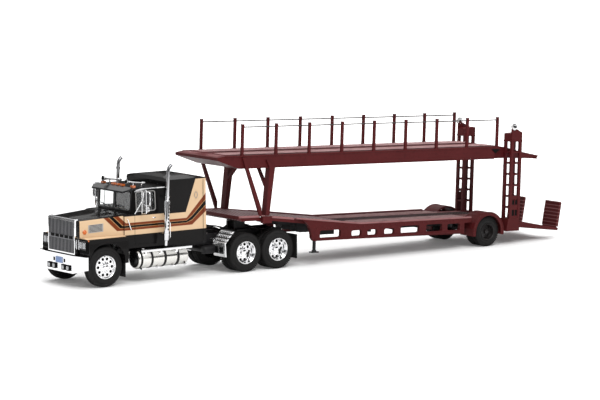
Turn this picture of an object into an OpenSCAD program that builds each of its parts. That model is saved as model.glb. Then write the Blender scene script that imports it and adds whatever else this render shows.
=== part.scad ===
// Car transporter model: a bonneted sleeper tractor and its two-deck semi-trailer.
// Millimetres. The nose points to -X, the ground is Z = 0 and the driver sits on the -Y side.
// Tractor sizes are measured from the front axle. Trailer sizes are measured along and across
// its decks from the top of the fifth wheel, because the whole trailer slopes down to its tail.

/* [Overall] */
// Front axle to the middle of the two drive axles
wheelbase = 123; // [112:1:145]
// Fifth wheel to the trailer axle
trailer_run = 196.5; // [180:1:235]
// Half of the width of both decks
deck_half = 24; // [20:0.5:27]
// Slope of the trailer, down towards the tail
deck_pitch = 2; // [0:0.25:3]
// Height of the fifth wheel's top
plate_z = 33; // [31.5:0.5:38]

/* [Wheels] */
// Radius of the tractor tyres
tyre_r = 13; // [11:0.25:13.5]
// Width of a drive tyre
tyre_w = 6; // [5:0.2:6.2]
// Width of a steer tyre
steer_tyre_w = 6.6; // [5:0.2:7.2]
// Outer face of the tractor tyres from the middle
track_half = 25.8; // [24:0.2:26.6]
// Distance between the drive axles
tandem = 26.3; // [26.1:0.1:30]
// Radius of the trailer tyres
trailer_tyre_r = 10.3; // [8.5:0.1:12.4]
// Width of a trailer tyre
trailer_tyre_w = 5.8; // [4.8:0.1:6]
// Outer face of the trailer tyres from the middle
trailer_track_half = 28.6; // [28:0.1:28.8]
// Gap between twin tyres
twin_gap = 0.8; // [0.4:0.1:1.2]
// Radius of the rims where the tyres sit
rim_r = 7.6; // [6.5:0.1:8.5]
// Radius of the trailer rims where the tyres sit
trailer_rim_r = 5.9; // [5:0.1:6.6]
// Radius of the steel axle pins
pin_r = 1; // [0.7:0.05:1.3]
// Running gap round every pin
run_gap = 0.05; // [0.02:0.01:0.1]
// Gap between a wheel hub and the axle that carries it
hub_gap = 0.4; // [0.2:0.1:0.8]
// Gap where a round piece sits in its seat
seat_gap = 0.05; // [0.02:0.01:0.1]

/* [Tractor frame] */
// Underside of the frame rails
frame_z0 = 18.5; // [17.5:0.5:19.5]
// Top of the frame rails
frame_z1 = 25; // [24:0.5:26]
// Outer face of the frame rails from the middle
rail_half = 9; // [7:0.5:10]
// Thickness of a frame rail
rail_w = 1.6; // [1:0.2:2.2]
// End of the frame behind the last axle
frame_overhang = 15; // [14:0.5:18]

/* [Bonnet and wings] */
// Front of the bonnet, ahead of the front axle
nose = 14.2; // [13.6:0.2:16]
// Front of the cab, behind the front axle
cab_front = 16.4; // [15.6:0.2:19]
// Half width of the bonnet at its front
bonnet_front_half = 17.6; // [16.5:0.2:18.5]
// Half width of the bonnet at the cab
bonnet_rear_half = 21.8; // [20:0.2:22]
// Top of the wings, where the bonnet sits
wing_z = 31.8; // [31:0.2:33]
// Top of the bonnet at its front
bonnet_front_z = 42.6; // [40:0.2:43.4]
// Top of the bonnet at the cab
bonnet_rear_z = 44.2; // [43.6:0.2:45]
// Half width over the wings
wing_half = 27.6; // [27:0.2:28.5]
// Depth of the grille ahead of the bonnet
grille_depth = 2.3; // [1.6:0.1:3]
// Half width of the grille
grille_half = 15.5; // [13:0.5:16]
// Number of upright bars in the grille
grille_bars_n = 18; // [10:1:20]
// Front of the bumper ahead of the front axle
bumper_reach = 18.2; // [18:0.2:20]
// Thickness of the bumper
bumper_t = 1.4; // [1:0.1:1.6]
// Half width of the bumper
bumper_half = 27.9; // [26:0.1:28.5]

/* [Cab and sleeper] */
// Length of the cab
cab_len = 32.2; // [28:0.2:38]
// Half width of the cab at the door
cab_half = 22.4; // [22:0.1:23.2]
// Lower edge of the cab and sleeper
cab_z0 = 22.8; // [22:0.2:24]
// Top of the cab roof
roof_z = 61.2; // [58:0.2:62]
// Thickness of the cab and sleeper walls
wall = 1.2; // [0.8:0.1:1.6]
// Thickness of the window panes
glass_t = 0.5; // [0.3:0.1:0.7]
// Lower edge of the windows
sill_z = 46; // [45.6:0.2:49]
// Upper edge of the windows
head_z = 58.4; // [55:0.2:58.6]
// Length of the sleeper box
sleeper_len = 30.8; // [24:0.2:34]
// Half width of the sleeper box
sleeper_half = 23.4; // [22.4:0.1:24]
// Distance from the cab's front to the foot of the windscreen
screen_back = 7.2; // [5:0.2:8]
// Half width of the windscreen
screen_half = 17.8; // [15:0.2:18.4]
// Height of the sleeper box at its sides
sleeper_z = 64.6; // [62:0.2:66]
// Rise of the sleeper roof above its sides
sleeper_crown = 2.3; // [1:0.1:4]

/* [Tractor fittings] */
// Radius of a fuel tank
tank_r = 6.1; // [5:0.1:6.4]
// Length of a fuel tank
tank_len = 39; // [30:1:44]
// Distance of the exhaust stacks from the middle
stack_y = 28.6; // [27:0.1:29]
// Radius of the exhaust heat shield
shield_r = 1.8; // [1.4:0.1:2.2]
// Radius of the upper exhaust pipe
pipe_r = 1.15; // [0.8:0.05:1.3]
// Height where the exhaust pipe starts to curve
stack_z = 70.5; // [66:0.5:72]
// Radius of the fifth wheel plate
plate_r = 6; // [5:0.5:7.5]
// Radius of the kingpin
kingpin_r = 1.2; // [0.9:0.1:1.6]

/* [Trailer decks] */
// Thickness of the gooseneck and lower deck plates
deck_t = 3; // [2:0.1:3.4]
// Front edge of the gooseneck ahead of the kingpin
neck_reach = 15.2; // [12:0.2:20]
// Length of the flat part of the gooseneck behind the kingpin
neck_flat = 4; // [3:0.5:10]
// Where the gooseneck slope ends behind the kingpin
slope_end = 84; // [75:1:95]
// Drop from the gooseneck to the lower deck
deck_drop = 8.5; // [6:0.25:9]
// Front of the upper deck ahead of the kingpin
upper_reach = 33; // [28:0.5:35]
// Top of the upper deck above the fifth wheel
upper_w = 43.2; // [42:0.2:48]
// Depth of the upper deck's side beams
beam_h = 8.6; // [6:0.2:10]
// Thickness of the upper deck plate and its ribs
upper_t = 1.6; // [1:0.1:2.4]
// Half width of the upper deck's narrow tail, between the towers
tail_half = 20.8; // [17:0.2:20.8]
// Height of the runways above the upper deck plate
runway_h = 0.3; // [0.2:0.1:0.6]
// Thickness of the side frames under the lower deck
side_t = 2.5; // [1.5:0.1:3]

/* [Posts and towers] */
// Number of guard posts on each side
posts_n = 9; // [6:1:11]
// Height of the guard posts
post_h = 20.4; // [14:0.2:24]
// Thickness of a guard post
post_w = 1.7; // [1.2:0.1:2.2]
// Radius of the guard wires
wire_r = 0.3; // [0.2:0.05:0.4]
// Length of a tower along the deck
tower_len = 9.6; // [8:0.2:11]
// Width of a tower across the deck
tower_w = 8.4; // [7:0.2:9]
// Thickness of a tower's corner posts
tower_post = 2; // [1.4:0.1:2.4]
// Number of rungs up each side of a tower
rungs_n = 7; // [4:1:9]
// Radius of the cable pulleys
pulley_r = 2.3; // [1.8:0.1:2.6]

/* [Tail ramps] */
// Length of the sloping tail
tail_len = 58; // [52:1:70]
// Drop of the sloping tail
tail_drop = 10.4; // [9:0.2:12]
// Half width of the tail behind the towers
tail_wide = 26.6; // [25:0.2:28.4]
// Height of a ramp plate above its hinge
ramp_h = 19.4; // [12:0.2:22]
// Inner edge of a ramp plate from the middle
ramp_in = 11.4; // [9:0.2:14]
// Thickness of a ramp plate
ramp_t = 1; // [0.7:0.1:1.4]
// Lean of the stowed ramp plates from upright
ramp_lean = 11; // [5:0.2:20]
// Depth of the ribs on the back of a ramp plate
ramp_rib = 0.5; // [0.3:0.1:0.8]

/* [Hidden] */
$fn = 40;

// Places along the vehicle
kingpin_x = wheelbase - 3;
axle_one_x = wheelbase - tandem / 2;
axle_two_x = wheelbase + tandem / 2;
frame_end = axle_two_x + frame_overhang;
cab_rear = cab_front + cab_len;
sleeper_front = cab_rear + 0.2;
sleeper_rear = sleeper_front + sleeper_len;
trailer_axle_x = kingpin_x + trailer_run;

// Places in the trailer's own sloping frame, from the fifth wheel's top
cp = cos(deck_pitch);
sp = sin(deck_pitch);
axle_u = trailer_run * cp - (trailer_tyre_r - plate_z) * sp;
axle_w = trailer_run * sp + (trailer_tyre_r - plate_z) * cp;
neck_w = deck_t;
deck_w = neck_w - deck_drop;
side_w0 = deck_w - 9.6;
box_gap = 1.2;
box_r = trailer_tyre_r + 3.6;
box_in = trailer_track_half - 2 * trailer_tyre_w - twin_gap - 0.6;
box_out = trailer_track_half + 0.8;
box_front_u = axle_u - box_r;
box_rear_u = axle_u + box_r;
wide_half = deck_half + 0.5;
tower_u = box_rear_u + 4.9;
tower_in = box_out - tower_w;
tower_base_w0 = deck_w - 10.6;
tower_base_w1 = deck_w - 2;
tower_cap_w = upper_w + 3.8;
tail_u = box_rear_u - 6.6;
tail_end_u = tail_u + tail_len;
tail_end_w = deck_w - tail_drop;
hinge_u = tail_end_u + 1.5;
hinge_w = tail_end_w - 1;
hinge_x = kingpin_x + hinge_u * cp + hinge_w * sp;
hinge_z = plate_z - hinge_u * sp + hinge_w * cp;
post_first = -13;
post_step = (axle_u + 10.2 - post_first) / (posts_n - 1);
tail_tip_u = tower_u + tower_len + 23.4;
ramp_end = 0.6;

// Middle of the whole length, which is put over the origin
nose_x = -bumper_reach;
rear_x = hinge_x + (ramp_h - ramp_end) * sin(ramp_lean) + (ramp_t / 2 + ramp_rib) * cos(ramp_lean);
mid_x = (nose_x + rear_x) / 2;

function arc(c, r, from, to, n = 8) =
    [for (i = [0 : n]) let (a = from + (to - from) * i / n) [c[0] + r * cos(a), c[1] + r * sin(a)]];
function blend(a, b, t) = a + (b - a) * t;

module on_road() translate([-mid_x, 0, 0]) children();
module on_trailer() on_road() translate([kingpin_x, 0, plate_z]) rotate([0, deck_pitch, 0]) children();
module both_sides() {
    children();
    mirror([0, 1, 0]) children();
}
module box(low, high) translate(low) cube(high - low);
// An outline drawn in X and Z, given its thickness from y0 to y1
module side_on(y0, y1) translate([0, y1, 0]) rotate([90, 0, 0]) linear_extrude(y1 - y0) children();
// An outline drawn in Y and Z, given its length from x0 to x1
module end_on(x0, x1) translate([x0, 0, 0]) rotate([90, 0, 90]) linear_extrude(x1 - x0) children();
// An outline drawn in X and Y, given its height from z0 to z1
module plan_on(z0, z1) translate([0, 0, z0]) linear_extrude(z1 - z0) children();
module rod_y(x, z, r, y0, y1) translate([x, y1, z]) rotate([90, 0, 0]) cylinder(r = r, h = y1 - y0);
module rod_x(y, z, r, x0, x1) translate([x0, y, z]) rotate([0, 90, 0]) cylinder(r = r, h = x1 - x0);
module rod_z(x, y, r, z0, z1) translate([x, y, z0]) cylinder(r = r, h = z1 - z0);
// A straight round bar between two points
module bar(a, b, r) {
    d = b - a;
    translate(a) rotate([0, acos(d[2] / norm(d)), atan2(d[1], d[0])]) cylinder(r = r, h = norm(d), $fn = 16);
}
module round_window(x0, z0, x1, z1, r) polygon(concat(
    arc([x1 - r, z1 - r], r, 0, 90, 4), arc([x0 + r, z1 - r], r, 90, 180, 4),
    arc([x0 + r, z0 + r], r, 180, 270, 4), arc([x1 - r, z0 + r], r, 270, 360, 4)));

// ---------------------------------------------------------------- tractor frame

module frame_rail() box([-nose + 1.2, rail_half - rail_w, frame_z0], [frame_end, rail_half, frame_z1]);

module frame_rails() color([0.09, 0.09, 0.1]) on_road() both_sides() frame_rail();

module crossmembers() color([0.09, 0.09, 0.1]) on_road() {
    for (x = [-nose + 1.2, cab_front + 2, sleeper_front, sleeper_rear + 3, axle_one_x - 2, wheelbase - 1.5,
        axle_two_x - 2, frame_end - 3])
        box([x, rail_w - rail_half, frame_z0 + 0.8], [x + 3, rail_half - rail_w, frame_z1 - 0.8]);
    both_sides() {
        // Bumper bracket under the rail's front end
        box([-bumper_reach + bumper_t, rail_half - rail_w, frame_z0 - 4], [-nose + 4, rail_half, frame_z0]);
        // Bar that carries a rear mudflap
        box([frame_end, rail_half - rail_w, frame_z1 - 4.6], [frame_end + 1, track_half - 0.4, frame_z1 - 3.4]);
        // Brackets that hold the tank
        difference() {
            for (x = [tank_x0 + 6, tank_x0 + tank_len - 9])
                box([x, rail_half, frame_z0], [x + 3, tank_y - 2, frame_z0 + 1.2]);
            rod_x(tank_y, tank_z, tank_r + seat_gap, tank_x0 - 1, tank_x0 + tank_len + 1);
        }
    }
}

module front_axle_beam() color([0.1, 0.1, 0.11]) on_road() axle_beam(0, tyre_r, 1.9, steer_beam_half, frame_z0);

module drive_axle_housings() color([0.1, 0.1, 0.11]) on_road() for (x = [axle_one_x, axle_two_x]) difference() {
    union() {
        axle_solid(x, tyre_r, 2.3, drive_beam_half, frame_z0);
        translate([x, 0, tyre_r]) sphere(r = 4.6);
    }
    rod_y(x, tyre_r, pin_r + run_gap, -track_half, track_half);
}

// An axle tube with a seat up to whatever it carries
module axle_solid(x, z, r, half, top) {
    rod_y(x, z, r, -half, half);
    both_sides() box([x - 2.6, rail_half - rail_w, z], [x + 2.6, rail_half, top]);
}
module axle_beam(x, z, r, half, top) difference() {
    axle_solid(x, z, r, half, top);
    rod_y(x, z, pin_r + run_gap, -half - 1, half + 1);
}

module fifth_wheel() color([0.07, 0.07, 0.08]) on_road() difference() {
    gap = plate_r * tan(deck_pitch) + 0.1;
    union() {
        rod_z(kingpin_x, 0, plate_r, plate_z - 2.2, plate_z - gap);
        both_sides() box([kingpin_x - 4, 3.4, frame_z1 - 0.8], [kingpin_x + 4, 5, plate_z - 2.2]);
        box([kingpin_x - 5.5, -rail_half, frame_z1], [kingpin_x + 5.5, rail_half, frame_z1 + 0.9]);
    }
    rod_z(kingpin_x, 0, kingpin_r + run_gap, frame_z1 - 2, plate_z + 1);
    box([kingpin_x - 5.6, -rail_half + rail_w, frame_z1 - 1], [kingpin_x + 5.6, rail_half - rail_w, frame_z1]);
}

module front_mudflaps() color([0.05, 0.05, 0.05]) on_road() both_sides()
    box([wing_arch_rear + 0.3, wing_in + 3.4, 5.5], [wing_arch_rear + 1, wing_half - 1.6, wing_z0]);

module rear_mudflaps() color([0.05, 0.05, 0.05]) on_road() both_sides()
    box([frame_end + 0.1, rail_half + 3.6, 5.6], [frame_end + 0.9, track_half - 0.4, frame_z1 - 4.6]);

// ---------------------------------------------------------------- wheels

steer_beam_half = track_half - steer_tyre_w - hub_gap;
drive_beam_half = track_half - 2 * tyre_w - twin_gap - hub_gap;
trailer_beam_half = trailer_track_half - 2 * trailer_tyre_w - twin_gap - hub_gap;

// Half outline of a tyre: radius outwards, width along the axle
module tyre_shape(r, bore, w) polygon(concat(
    [[bore, -w / 2 + 0.7], [bore + 1, -w / 2 + 0.1], [blend(bore, r, 0.55), -w / 2]],
    arc([r - 1, -w / 2 + 1], 1, -80, -20, 4),
    [[r, 0]],
    arc([r - 1, w / 2 - 1], 1, 20, 80, 4),
    [[blend(bore, r, 0.55), w / 2], [bore + 1, w / 2 - 0.1], [bore, w / 2 - 0.7]]));
module tyre_at(y, r, bore, w) translate([0, y, 0]) rotate([90, 0, 0]) rotate_extrude($fn = 72) tyre_shape(r, bore, w);

// A rim seen in half outline, with its disc set in from the outer face and a hub on the pin
module rim_shape(r, w, disc, disc_t, hub_r, hub_out) polygon([
    [pin_r, -w / 2 + hub_gap / 2], [hub_r, -w / 2 + hub_gap / 2], [hub_r + 0.6, w / 2 - disc - disc_t],
    [r - 0.9, w / 2 - disc - disc_t + 0.4], [r - 0.9, -w / 2 + 0.5], [r, -w / 2 + 0.5], [r, w / 2 - 0.5],
    [r - 0.3, w / 2 - 0.1], [r - 0.8, w / 2 - 0.1], [r - 1.1, w / 2 - disc], [hub_r + 0.9, w / 2 - disc],
    [hub_r, w / 2 - disc + 0.4], [hub_r - 0.5, w / 2 - disc + hub_out], [pin_r, w / 2 - disc + hub_out]]);
module rim_at(y0, y1, r, disc, disc_t, hub_r, hub_out, holes, hole_r) difference() {
    translate([0, (y0 + y1) / 2, 0]) rotate([-90, 0, 0])
        rotate_extrude($fn = 72) rim_shape(r, y1 - y0, disc, disc_t, hub_r, hub_out);
    for (i = [0 : holes - 1]) rotate([0, i * 360 / holes, 0])
        rod_y(blend(hub_r, r, 0.62), 0, hole_r, y0 + 0.4, y1 + 1);
}
module wheelset(x, z) on_road() translate([x, 0, z]) children();
module axle_pin_of(half) rod_y(0, 0, pin_r, -half, half);

module front_tyres() color([0.05, 0.05, 0.05]) wheelset(0, tyre_r) both_sides()
    tyre_at(track_half - steer_tyre_w / 2, tyre_r, rim_r, steer_tyre_w);
module front_rims() color([0.85, 0.85, 0.87]) wheelset(0, tyre_r) both_sides()
    rim_at(track_half - steer_tyre_w, track_half, rim_r, 1.1, 0.8, 2, 0.9, 10, 0.75);
module front_axle_pin() color([0.6, 0.6, 0.62]) wheelset(0, tyre_r) axle_pin_of(track_half - 0.8);

module drive_tyres() both_sides() for (i = [0, 1])
    tyre_at(track_half - tyre_w / 2 - i * (tyre_w + twin_gap), tyre_r, rim_r, tyre_w);
module drive_rims() both_sides()
    rim_at(track_half - 2 * tyre_w - twin_gap, track_half, rim_r, 4.6, 0.9, 2.4, 2.6, 10, 0.7);

module first_drive_tyres() color([0.05, 0.05, 0.05]) wheelset(axle_one_x, tyre_r) drive_tyres();
module first_drive_rims() color([0.85, 0.85, 0.87]) wheelset(axle_one_x, tyre_r) drive_rims();
module first_drive_pin() color([0.6, 0.6, 0.62]) wheelset(axle_one_x, tyre_r) axle_pin_of(track_half - 2.5);
module second_drive_tyres() color([0.05, 0.05, 0.05]) wheelset(axle_two_x, tyre_r) drive_tyres();
module second_drive_rims() color([0.85, 0.85, 0.87]) wheelset(axle_two_x, tyre_r) drive_rims();
module second_drive_pin() color([0.6, 0.6, 0.62]) wheelset(axle_two_x, tyre_r) axle_pin_of(track_half - 2.5);

module trailer_tyres() color([0.05, 0.05, 0.05]) wheelset(trailer_axle_x, trailer_tyre_r)
    both_sides() for (i = [0, 1])
        tyre_at(trailer_track_half - trailer_tyre_w / 2 - i * (trailer_tyre_w + twin_gap),
            trailer_tyre_r, trailer_rim_r, trailer_tyre_w);
module trailer_rims() color([0.08, 0.08, 0.09]) wheelset(trailer_axle_x, trailer_tyre_r) both_sides()
    rim_at(trailer_track_half - 2 * trailer_tyre_w - twin_gap, trailer_track_half,
        trailer_rim_r, 3.4, 0.9, 1.9, 2, 8, 0.55);
module trailer_pin() color([0.6, 0.6, 0.62]) wheelset(trailer_axle_x, trailer_tyre_r)
    axle_pin_of(trailer_track_half - 2);

// ---------------------------------------------------------------- nose

wing_in = 15.6;
wing_z0 = 14.6;
wing_arch_rear = tyre_r + 0.9;
// Wheel arch: angle round the front axle, reach beyond the tyre
arch_table = [[-20, 1], [6, 1], [28, 2.2], [50, 2.9], [70, 2.8], [112, 2.7], [130, 2.8], [155, 2.1], [174, 1.6],
    [190, 3]];
arch_points = [for (row = arch_table)
    let (angle = row[0], reach = row[1]) [(tyre_r + reach) * cos(angle), tyre_r + (tyre_r + reach) * sin(angle)]];

module front_bumper() color([0.85, 0.85, 0.87]) on_road() difference() {
    z0 = 9.2;
    z1 = 20.2;
    bend = grille_half;
    sweep = 2.4;
    plan_on(z0, z1 + 0.3) polygon([
        [-bumper_reach, -bend], [-bumper_reach, bend], [sweep - bumper_reach, bumper_half],
        [sweep - bumper_reach + bumper_t, bumper_half], [bumper_t - bumper_reach, bend],
        [bumper_t - bumper_reach, -bend], [sweep - bumper_reach + bumper_t, -bumper_half],
        [sweep - bumper_reach, -bumper_half]]);
    // Lower corners are cut up towards the ends
    both_sides() end_on(-bumper_reach - 1, 0) polygon([[bend, z0 - 1], [bend, z0], [bumper_half + 1, z0 + 3.2],
        [bumper_half + 1, z0 - 1]]);
    // Tow openings
    both_sides() box([-bumper_reach - 1, 5, 15.4], [0, 7, 17.8]);
}

module grille_surround() color([0.85, 0.85, 0.87]) on_road() difference() {
    x0 = -nose - grille_depth;
    box([x0, -grille_half, 21], [-nose, grille_half, bonnet_front_z + 0.2]);
    box([x0 - 1, -grille_half + 0.8, 21.8], [-nose + 1, grille_half - 0.8, bonnet_front_z - 1]);
}

module grille_bars() color([0.12, 0.12, 0.13]) on_road() {
    x0 = -nose - grille_depth + 0.5;
    half = grille_half - 0.8;
    z0 = 21.8;
    z1 = bonnet_front_z - 1;
    mid = blend(z0, z1, 0.47);
    pitch = 2 * half / grille_bars_n;
    box([-nose - 0.8, -half, z0], [-nose, half, z1]);
    for (i = [0 : grille_bars_n - 1])
        box([x0, -half + (i + 0.3) * pitch, z0], [-nose - 0.8, -half + (i + 0.7) * pitch, z1]);
    difference() {
        box([x0 - 0.2, -half, mid - 1.1], [-nose - 0.8, half, mid + 1.1]);
        for (i = [-2 : 2]) box([x0 - 1, i * 5.4 - 2, mid - 0.5], [x0 + 0.5, i * 5.4 + 2, mid + 0.5]);
    }
}

module bonnet_outer(shrink) intersection() {
    side_on(-30, 30) polygon([[shrink - nose, wing_z], [shrink - nose, bonnet_front_z - shrink],
        [cab_front, bonnet_rear_z - shrink], [cab_front, wing_z]]);
    plan_on(wing_z, 50) polygon([[shrink - nose, shrink - bonnet_front_half],
        [cab_front, shrink - bonnet_rear_half], [cab_front, bonnet_rear_half - shrink],
        [shrink - nose, bonnet_front_half - shrink]]);
}
module bonnet() color([0.09, 0.09, 0.09]) on_road() difference() {
    bonnet_outer(0);
    translate([0, 0, -0.01]) bonnet_outer(wall);
}

module front_wings() color([0.13, 0.12, 0.12]) on_road() both_sides() difference() {
    intersection() {
        side_on(wing_in, wing_half + 1) polygon(concat(
            [[-nose + 1, 21.2], [-nose + 1, wing_z], [cab_front, wing_z], [cab_front, wing_z0]],
            [[wing_arch_rear, wing_z0]], [for (p = arch_points) if (p[1] > wing_z0 + 0.2) p]));
        end_on(-nose, cab_front) polygon([[wing_in, 10], [wing_in, wing_z], [bonnet_rear_half, wing_z],
            [wing_half - 2, wing_z - 0.9], [wing_half - 0.4, wing_z - 3.2], [wing_half, wing_z - 8],
            [wing_half - 0.4, 10]]);
    }
}

module headlamps() color([0.8, 0.8, 0.82]) on_road() both_sides() difference() {
    box([-nose - 0.1, 16.4, 24.4], [-nose + 1, 25.2, 30.2]);
    box([-nose - 1, 17.2, 25.2], [-nose + 0.4, 20.6, 29.4]);
    box([-nose - 1, 21, 25.2], [-nose + 0.4, 24.4, 29.4]);
}

// ---------------------------------------------------------------- cab

screen_foot = [cab_front + screen_back, bonnet_rear_z + 1.2];
screen_top = [screen_foot[0] + 0.8, roof_z - 1.6];
door_top_half = cab_half - 1;
function screen_x(z) = blend(screen_foot[0], screen_top[0], (z - screen_foot[1]) / (screen_top[1] - screen_foot[1]));
function door_y(z) = blend(cab_half, door_top_half, max(0, (z - 44) / (roof_z - 2 - 44)));
door_window = [screen_foot[0] + 2.3, screen_foot[0] + 17];

// Corner between the windscreen and the door, cut back above the bonnet
module corner_cut(shrink) plan_on(bonnet_rear_z + 0.4 - shrink, roof_z + 1) polygon([
    [cab_front - 1, screen_half + 0.7 - 0.5 * shrink],
    [screen_foot[0] + 0.8 * shrink, screen_half + 0.7 - 0.5 * shrink],
    [screen_foot[0] + 1.6 + 0.8 * shrink, cab_half - 0.6 - 0.5 * shrink],
    [screen_foot[0] + 2 + 0.8 * shrink, cab_half + 1], [cab_front - 1, cab_half + 1]]);

module cab_block(shrink, z0) difference() {
    intersection() {
        side_on(-30, 30) polygon([[cab_front + shrink, z0], [cab_front + shrink, bonnet_rear_z - shrink],
            [screen_foot[0] + shrink, screen_foot[1] - shrink], [screen_top[0] + shrink, screen_top[1] - shrink],
            [screen_top[0] + 1.2 + shrink, roof_z - shrink], [cab_rear - shrink, roof_z - shrink],
            [cab_rear - shrink, z0]]);
        end_on(0, cab_rear + 1) polygon([[-cab_half + shrink, z0], [-door_y(44) + shrink, 44],
            [-door_top_half + shrink, roof_z - 2 - shrink], [-door_top_half + 2 + shrink, roof_z - 0.4 - shrink],
            [0, roof_z - shrink], [door_top_half - 2 - shrink, roof_z - 0.4 - shrink],
            [door_top_half - shrink, roof_z - 2 - shrink], [door_y(44) - shrink, 44], [cab_half - shrink, z0]]);
    }
    both_sides() corner_cut(shrink);
}

module cab_shell() color([0.1, 0.1, 0.1]) on_road() difference() {
    cab_block(0, cab_z0);
    cab_block(wall, frame_z1 + wall);
    // Open underside, over the frame
    box([cab_front - 1, wall - cab_half, cab_z0 - 1], [cab_rear + 1, cab_half - wall, frame_z1]);
    // Windscreen halves and door windows
    both_sides() box([cab_front - 1, 0.6, sill_z + 0.4], [screen_top[0] + wall + 0.6, screen_half, head_z]);
    box([door_window[0], -cab_half - 1, sill_z], [door_window[1], cab_half + 1, head_z]);
    // Way through to the sleeper
    box([cab_rear - 2 * wall, -9, frame_z1 + wall + 1], [cab_rear + 1, 9, 52]);
}

module windows() color([0.75, 0.82, 0.86, 0.4]) on_road() both_sides() {
    side_on(0.6, screen_half) polygon([[screen_x(sill_z) + 0.3, sill_z + 0.4], [screen_x(head_z) + 0.3, head_z],
        [screen_x(head_z) + 0.3 + glass_t, head_z], [screen_x(sill_z) + 0.3 + glass_t, sill_z + 0.4]]);
    end_on(door_window[0], door_window[1]) polygon([[door_y(sill_z) - 0.3, sill_z], [door_y(head_z) - 0.3, head_z],
        [door_y(head_z) - 0.3 - glass_t, head_z], [door_y(sill_z) - 0.3 - glass_t, sill_z]]);
}

floor_z = frame_z1 + wall;
module seats() color([0.2, 0.15, 0.12]) on_road() both_sides() translate([cab_rear - 14.4, 0, floor_z]) {
    box([0, 5, 0], [9.4, 17, 7]);
    side_on(5.5, 16.5) polygon([[6.6, 7], [9.4, 7], [12, 20], [10.2, 20.6]]);
}
module dashboard() color([0.12, 0.12, 0.12]) on_road() side_on(-cab_half + wall + 0.4, cab_half - wall - 0.4)
    polygon([[cab_front + wall, 33], [cab_front + wall, bonnet_rear_z - 2], [screen_foot[0] + 3, bonnet_rear_z - 1.6],
        [screen_foot[0] + 4.4, 38.6], [screen_foot[0] + 2, 33]]);
module steering_wheel() color([0.08, 0.08, 0.08]) on_road() translate([screen_foot[0] + 8.6, -11, 41])
    rotate([0, 60, 0]) {
        rotate_extrude($fn = 40) translate([3.9, 0]) circle(r = 0.45, $fn = 16);
        box([-3.7, -0.35, -0.3], [3.7, 0.35, 0.3]);
        box([-0.35, -3.7, -0.3], [0.35, 3.7, 0.3]);
        translate([0, 0, -4.6]) cylinder(r = 0.6, h = 4.8, $fn = 16);
    }

module sleeper_block(shrink, z0) intersection() {
    top = sleeper_z + sleeper_crown;
    side_on(-30, 30) polygon([[sleeper_front + shrink, z0], [sleeper_front + shrink, sleeper_z - 1 - shrink],
        [sleeper_front + 1.6 + shrink, top - 1.2 - shrink], [sleeper_front + 9, top - shrink],
        [sleeper_rear - 9, top - 0.3 - shrink], [sleeper_rear - shrink, sleeper_z - shrink],
        [sleeper_rear - shrink, z0]]);
    end_on(0, sleeper_rear + 1) polygon(concat([[sleeper_half - shrink, z0]],
        [for (i = [0 : 10]) let (t = 1 - i / 5) [(sleeper_half - shrink - 0.5 * pow(t, 2)) * t,
            sleeper_z - shrink + sleeper_crown * (1 - pow(t, 2))]],
        [[shrink - sleeper_half, z0]]));
}
module sleeper_box() color([0.1, 0.1, 0.1]) on_road() difference() {
    sleeper_block(0, cab_z0);
    sleeper_block(wall, frame_z1 + wall);
    box([sleeper_front - 1, wall - sleeper_half, cab_z0 - 1], [sleeper_rear + 1, sleeper_half - wall, frame_z1]);
    box([sleeper_front - 1, -9, frame_z1 + wall + 1], [sleeper_front + 2 * wall, 9, 52]);
}

module sun_visor() color([0.06, 0.06, 0.07]) on_road() difference() {
    tip = screen_foot[0] - 5.4;
    intersection() {
        side_on(-22, 22) polygon([[tip, head_z - 0.4], [tip, head_z + 0.6], [screen_top[0] + 1.2, roof_z - 0.2],
            [screen_top[0] + 1.2, roof_z - 1.2]]);
        plan_on(head_z - 2, roof_z) polygon([[tip, -screen_half], [tip, screen_half],
            [screen_foot[0] + 0.6, door_top_half], [screen_foot[0] + 3, door_top_half],
            [screen_foot[0] + 3, -door_top_half], [screen_foot[0] + 0.6, -door_top_half]]);
    }
    cab_block(0, cab_z0);
}

horn_front_z = roof_z + 3;
horn_rear_z = roof_z + 1.3;
module air_horns() color([0.85, 0.85, 0.87]) on_road() for (y = [-13.4, 13.4]) difference() {
    x0 = screen_top[0] - 0.4;
    union() {
        translate([x0, y, horn_front_z]) rotate([0, 90 + atan((horn_front_z - horn_rear_z) / 14), 0]) {
            cylinder(r1 = 1.5, r2 = 0.7, h = 4.6);
            cylinder(r = 0.6, h = 14);
        }
        for (x = [x0 + 5, x0 + 11.6]) box([x, y - 0.5, roof_z - 1.4], [x + 1.2, y + 0.5, roof_z + 1.6]);
    }
    cab_block(0, cab_z0);
}

module roof_lamps() color([0.85, 0.45, 0.1]) on_road() for (y = [-17, -5, 0, 5, 17])
    difference() {
        box([screen_top[0] + 1.4, y - 1.5, roof_z - 0.8], [screen_top[0] + 3.6, y + 1.5, roof_z + 0.9]);
        cab_block(0, cab_z0);
    }

mirror_y = cab_half + 7;
mirror_x = door_window[0] + 3.2;
module mirrors() color([0.85, 0.85, 0.87]) on_road() both_sides() {
    box([mirror_x, mirror_y - 3.4, 50.4], [mirror_x + 0.9, mirror_y + 3.4, 59]);
    rod_x(mirror_y, 47.8, 1.9, mirror_x, mirror_x + 0.9);
    difference() {
        union() {
            bar([mirror_x - 0.3, mirror_y, 45.4], [mirror_x - 0.3, mirror_y, 59.6], 0.4);
            for (z = [45.4, 59.6])
                bar([mirror_x - 0.3, door_top_half - 1, z], [mirror_x - 0.3, mirror_y, z], 0.4);
        }
        cab_block(0, cab_z0);
    }
}

// ---------------------------------------------------------------- tanks, steps and exhausts

tank_x0 = cab_front + 8.6;
tank_y = 20.1;
tank_z = 15.2;

module fuel_tanks() color([0.8, 0.8, 0.82]) on_road() both_sides()
    rod_x(tank_y, tank_z, tank_r, tank_x0, tank_x0 + tank_len);

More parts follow.
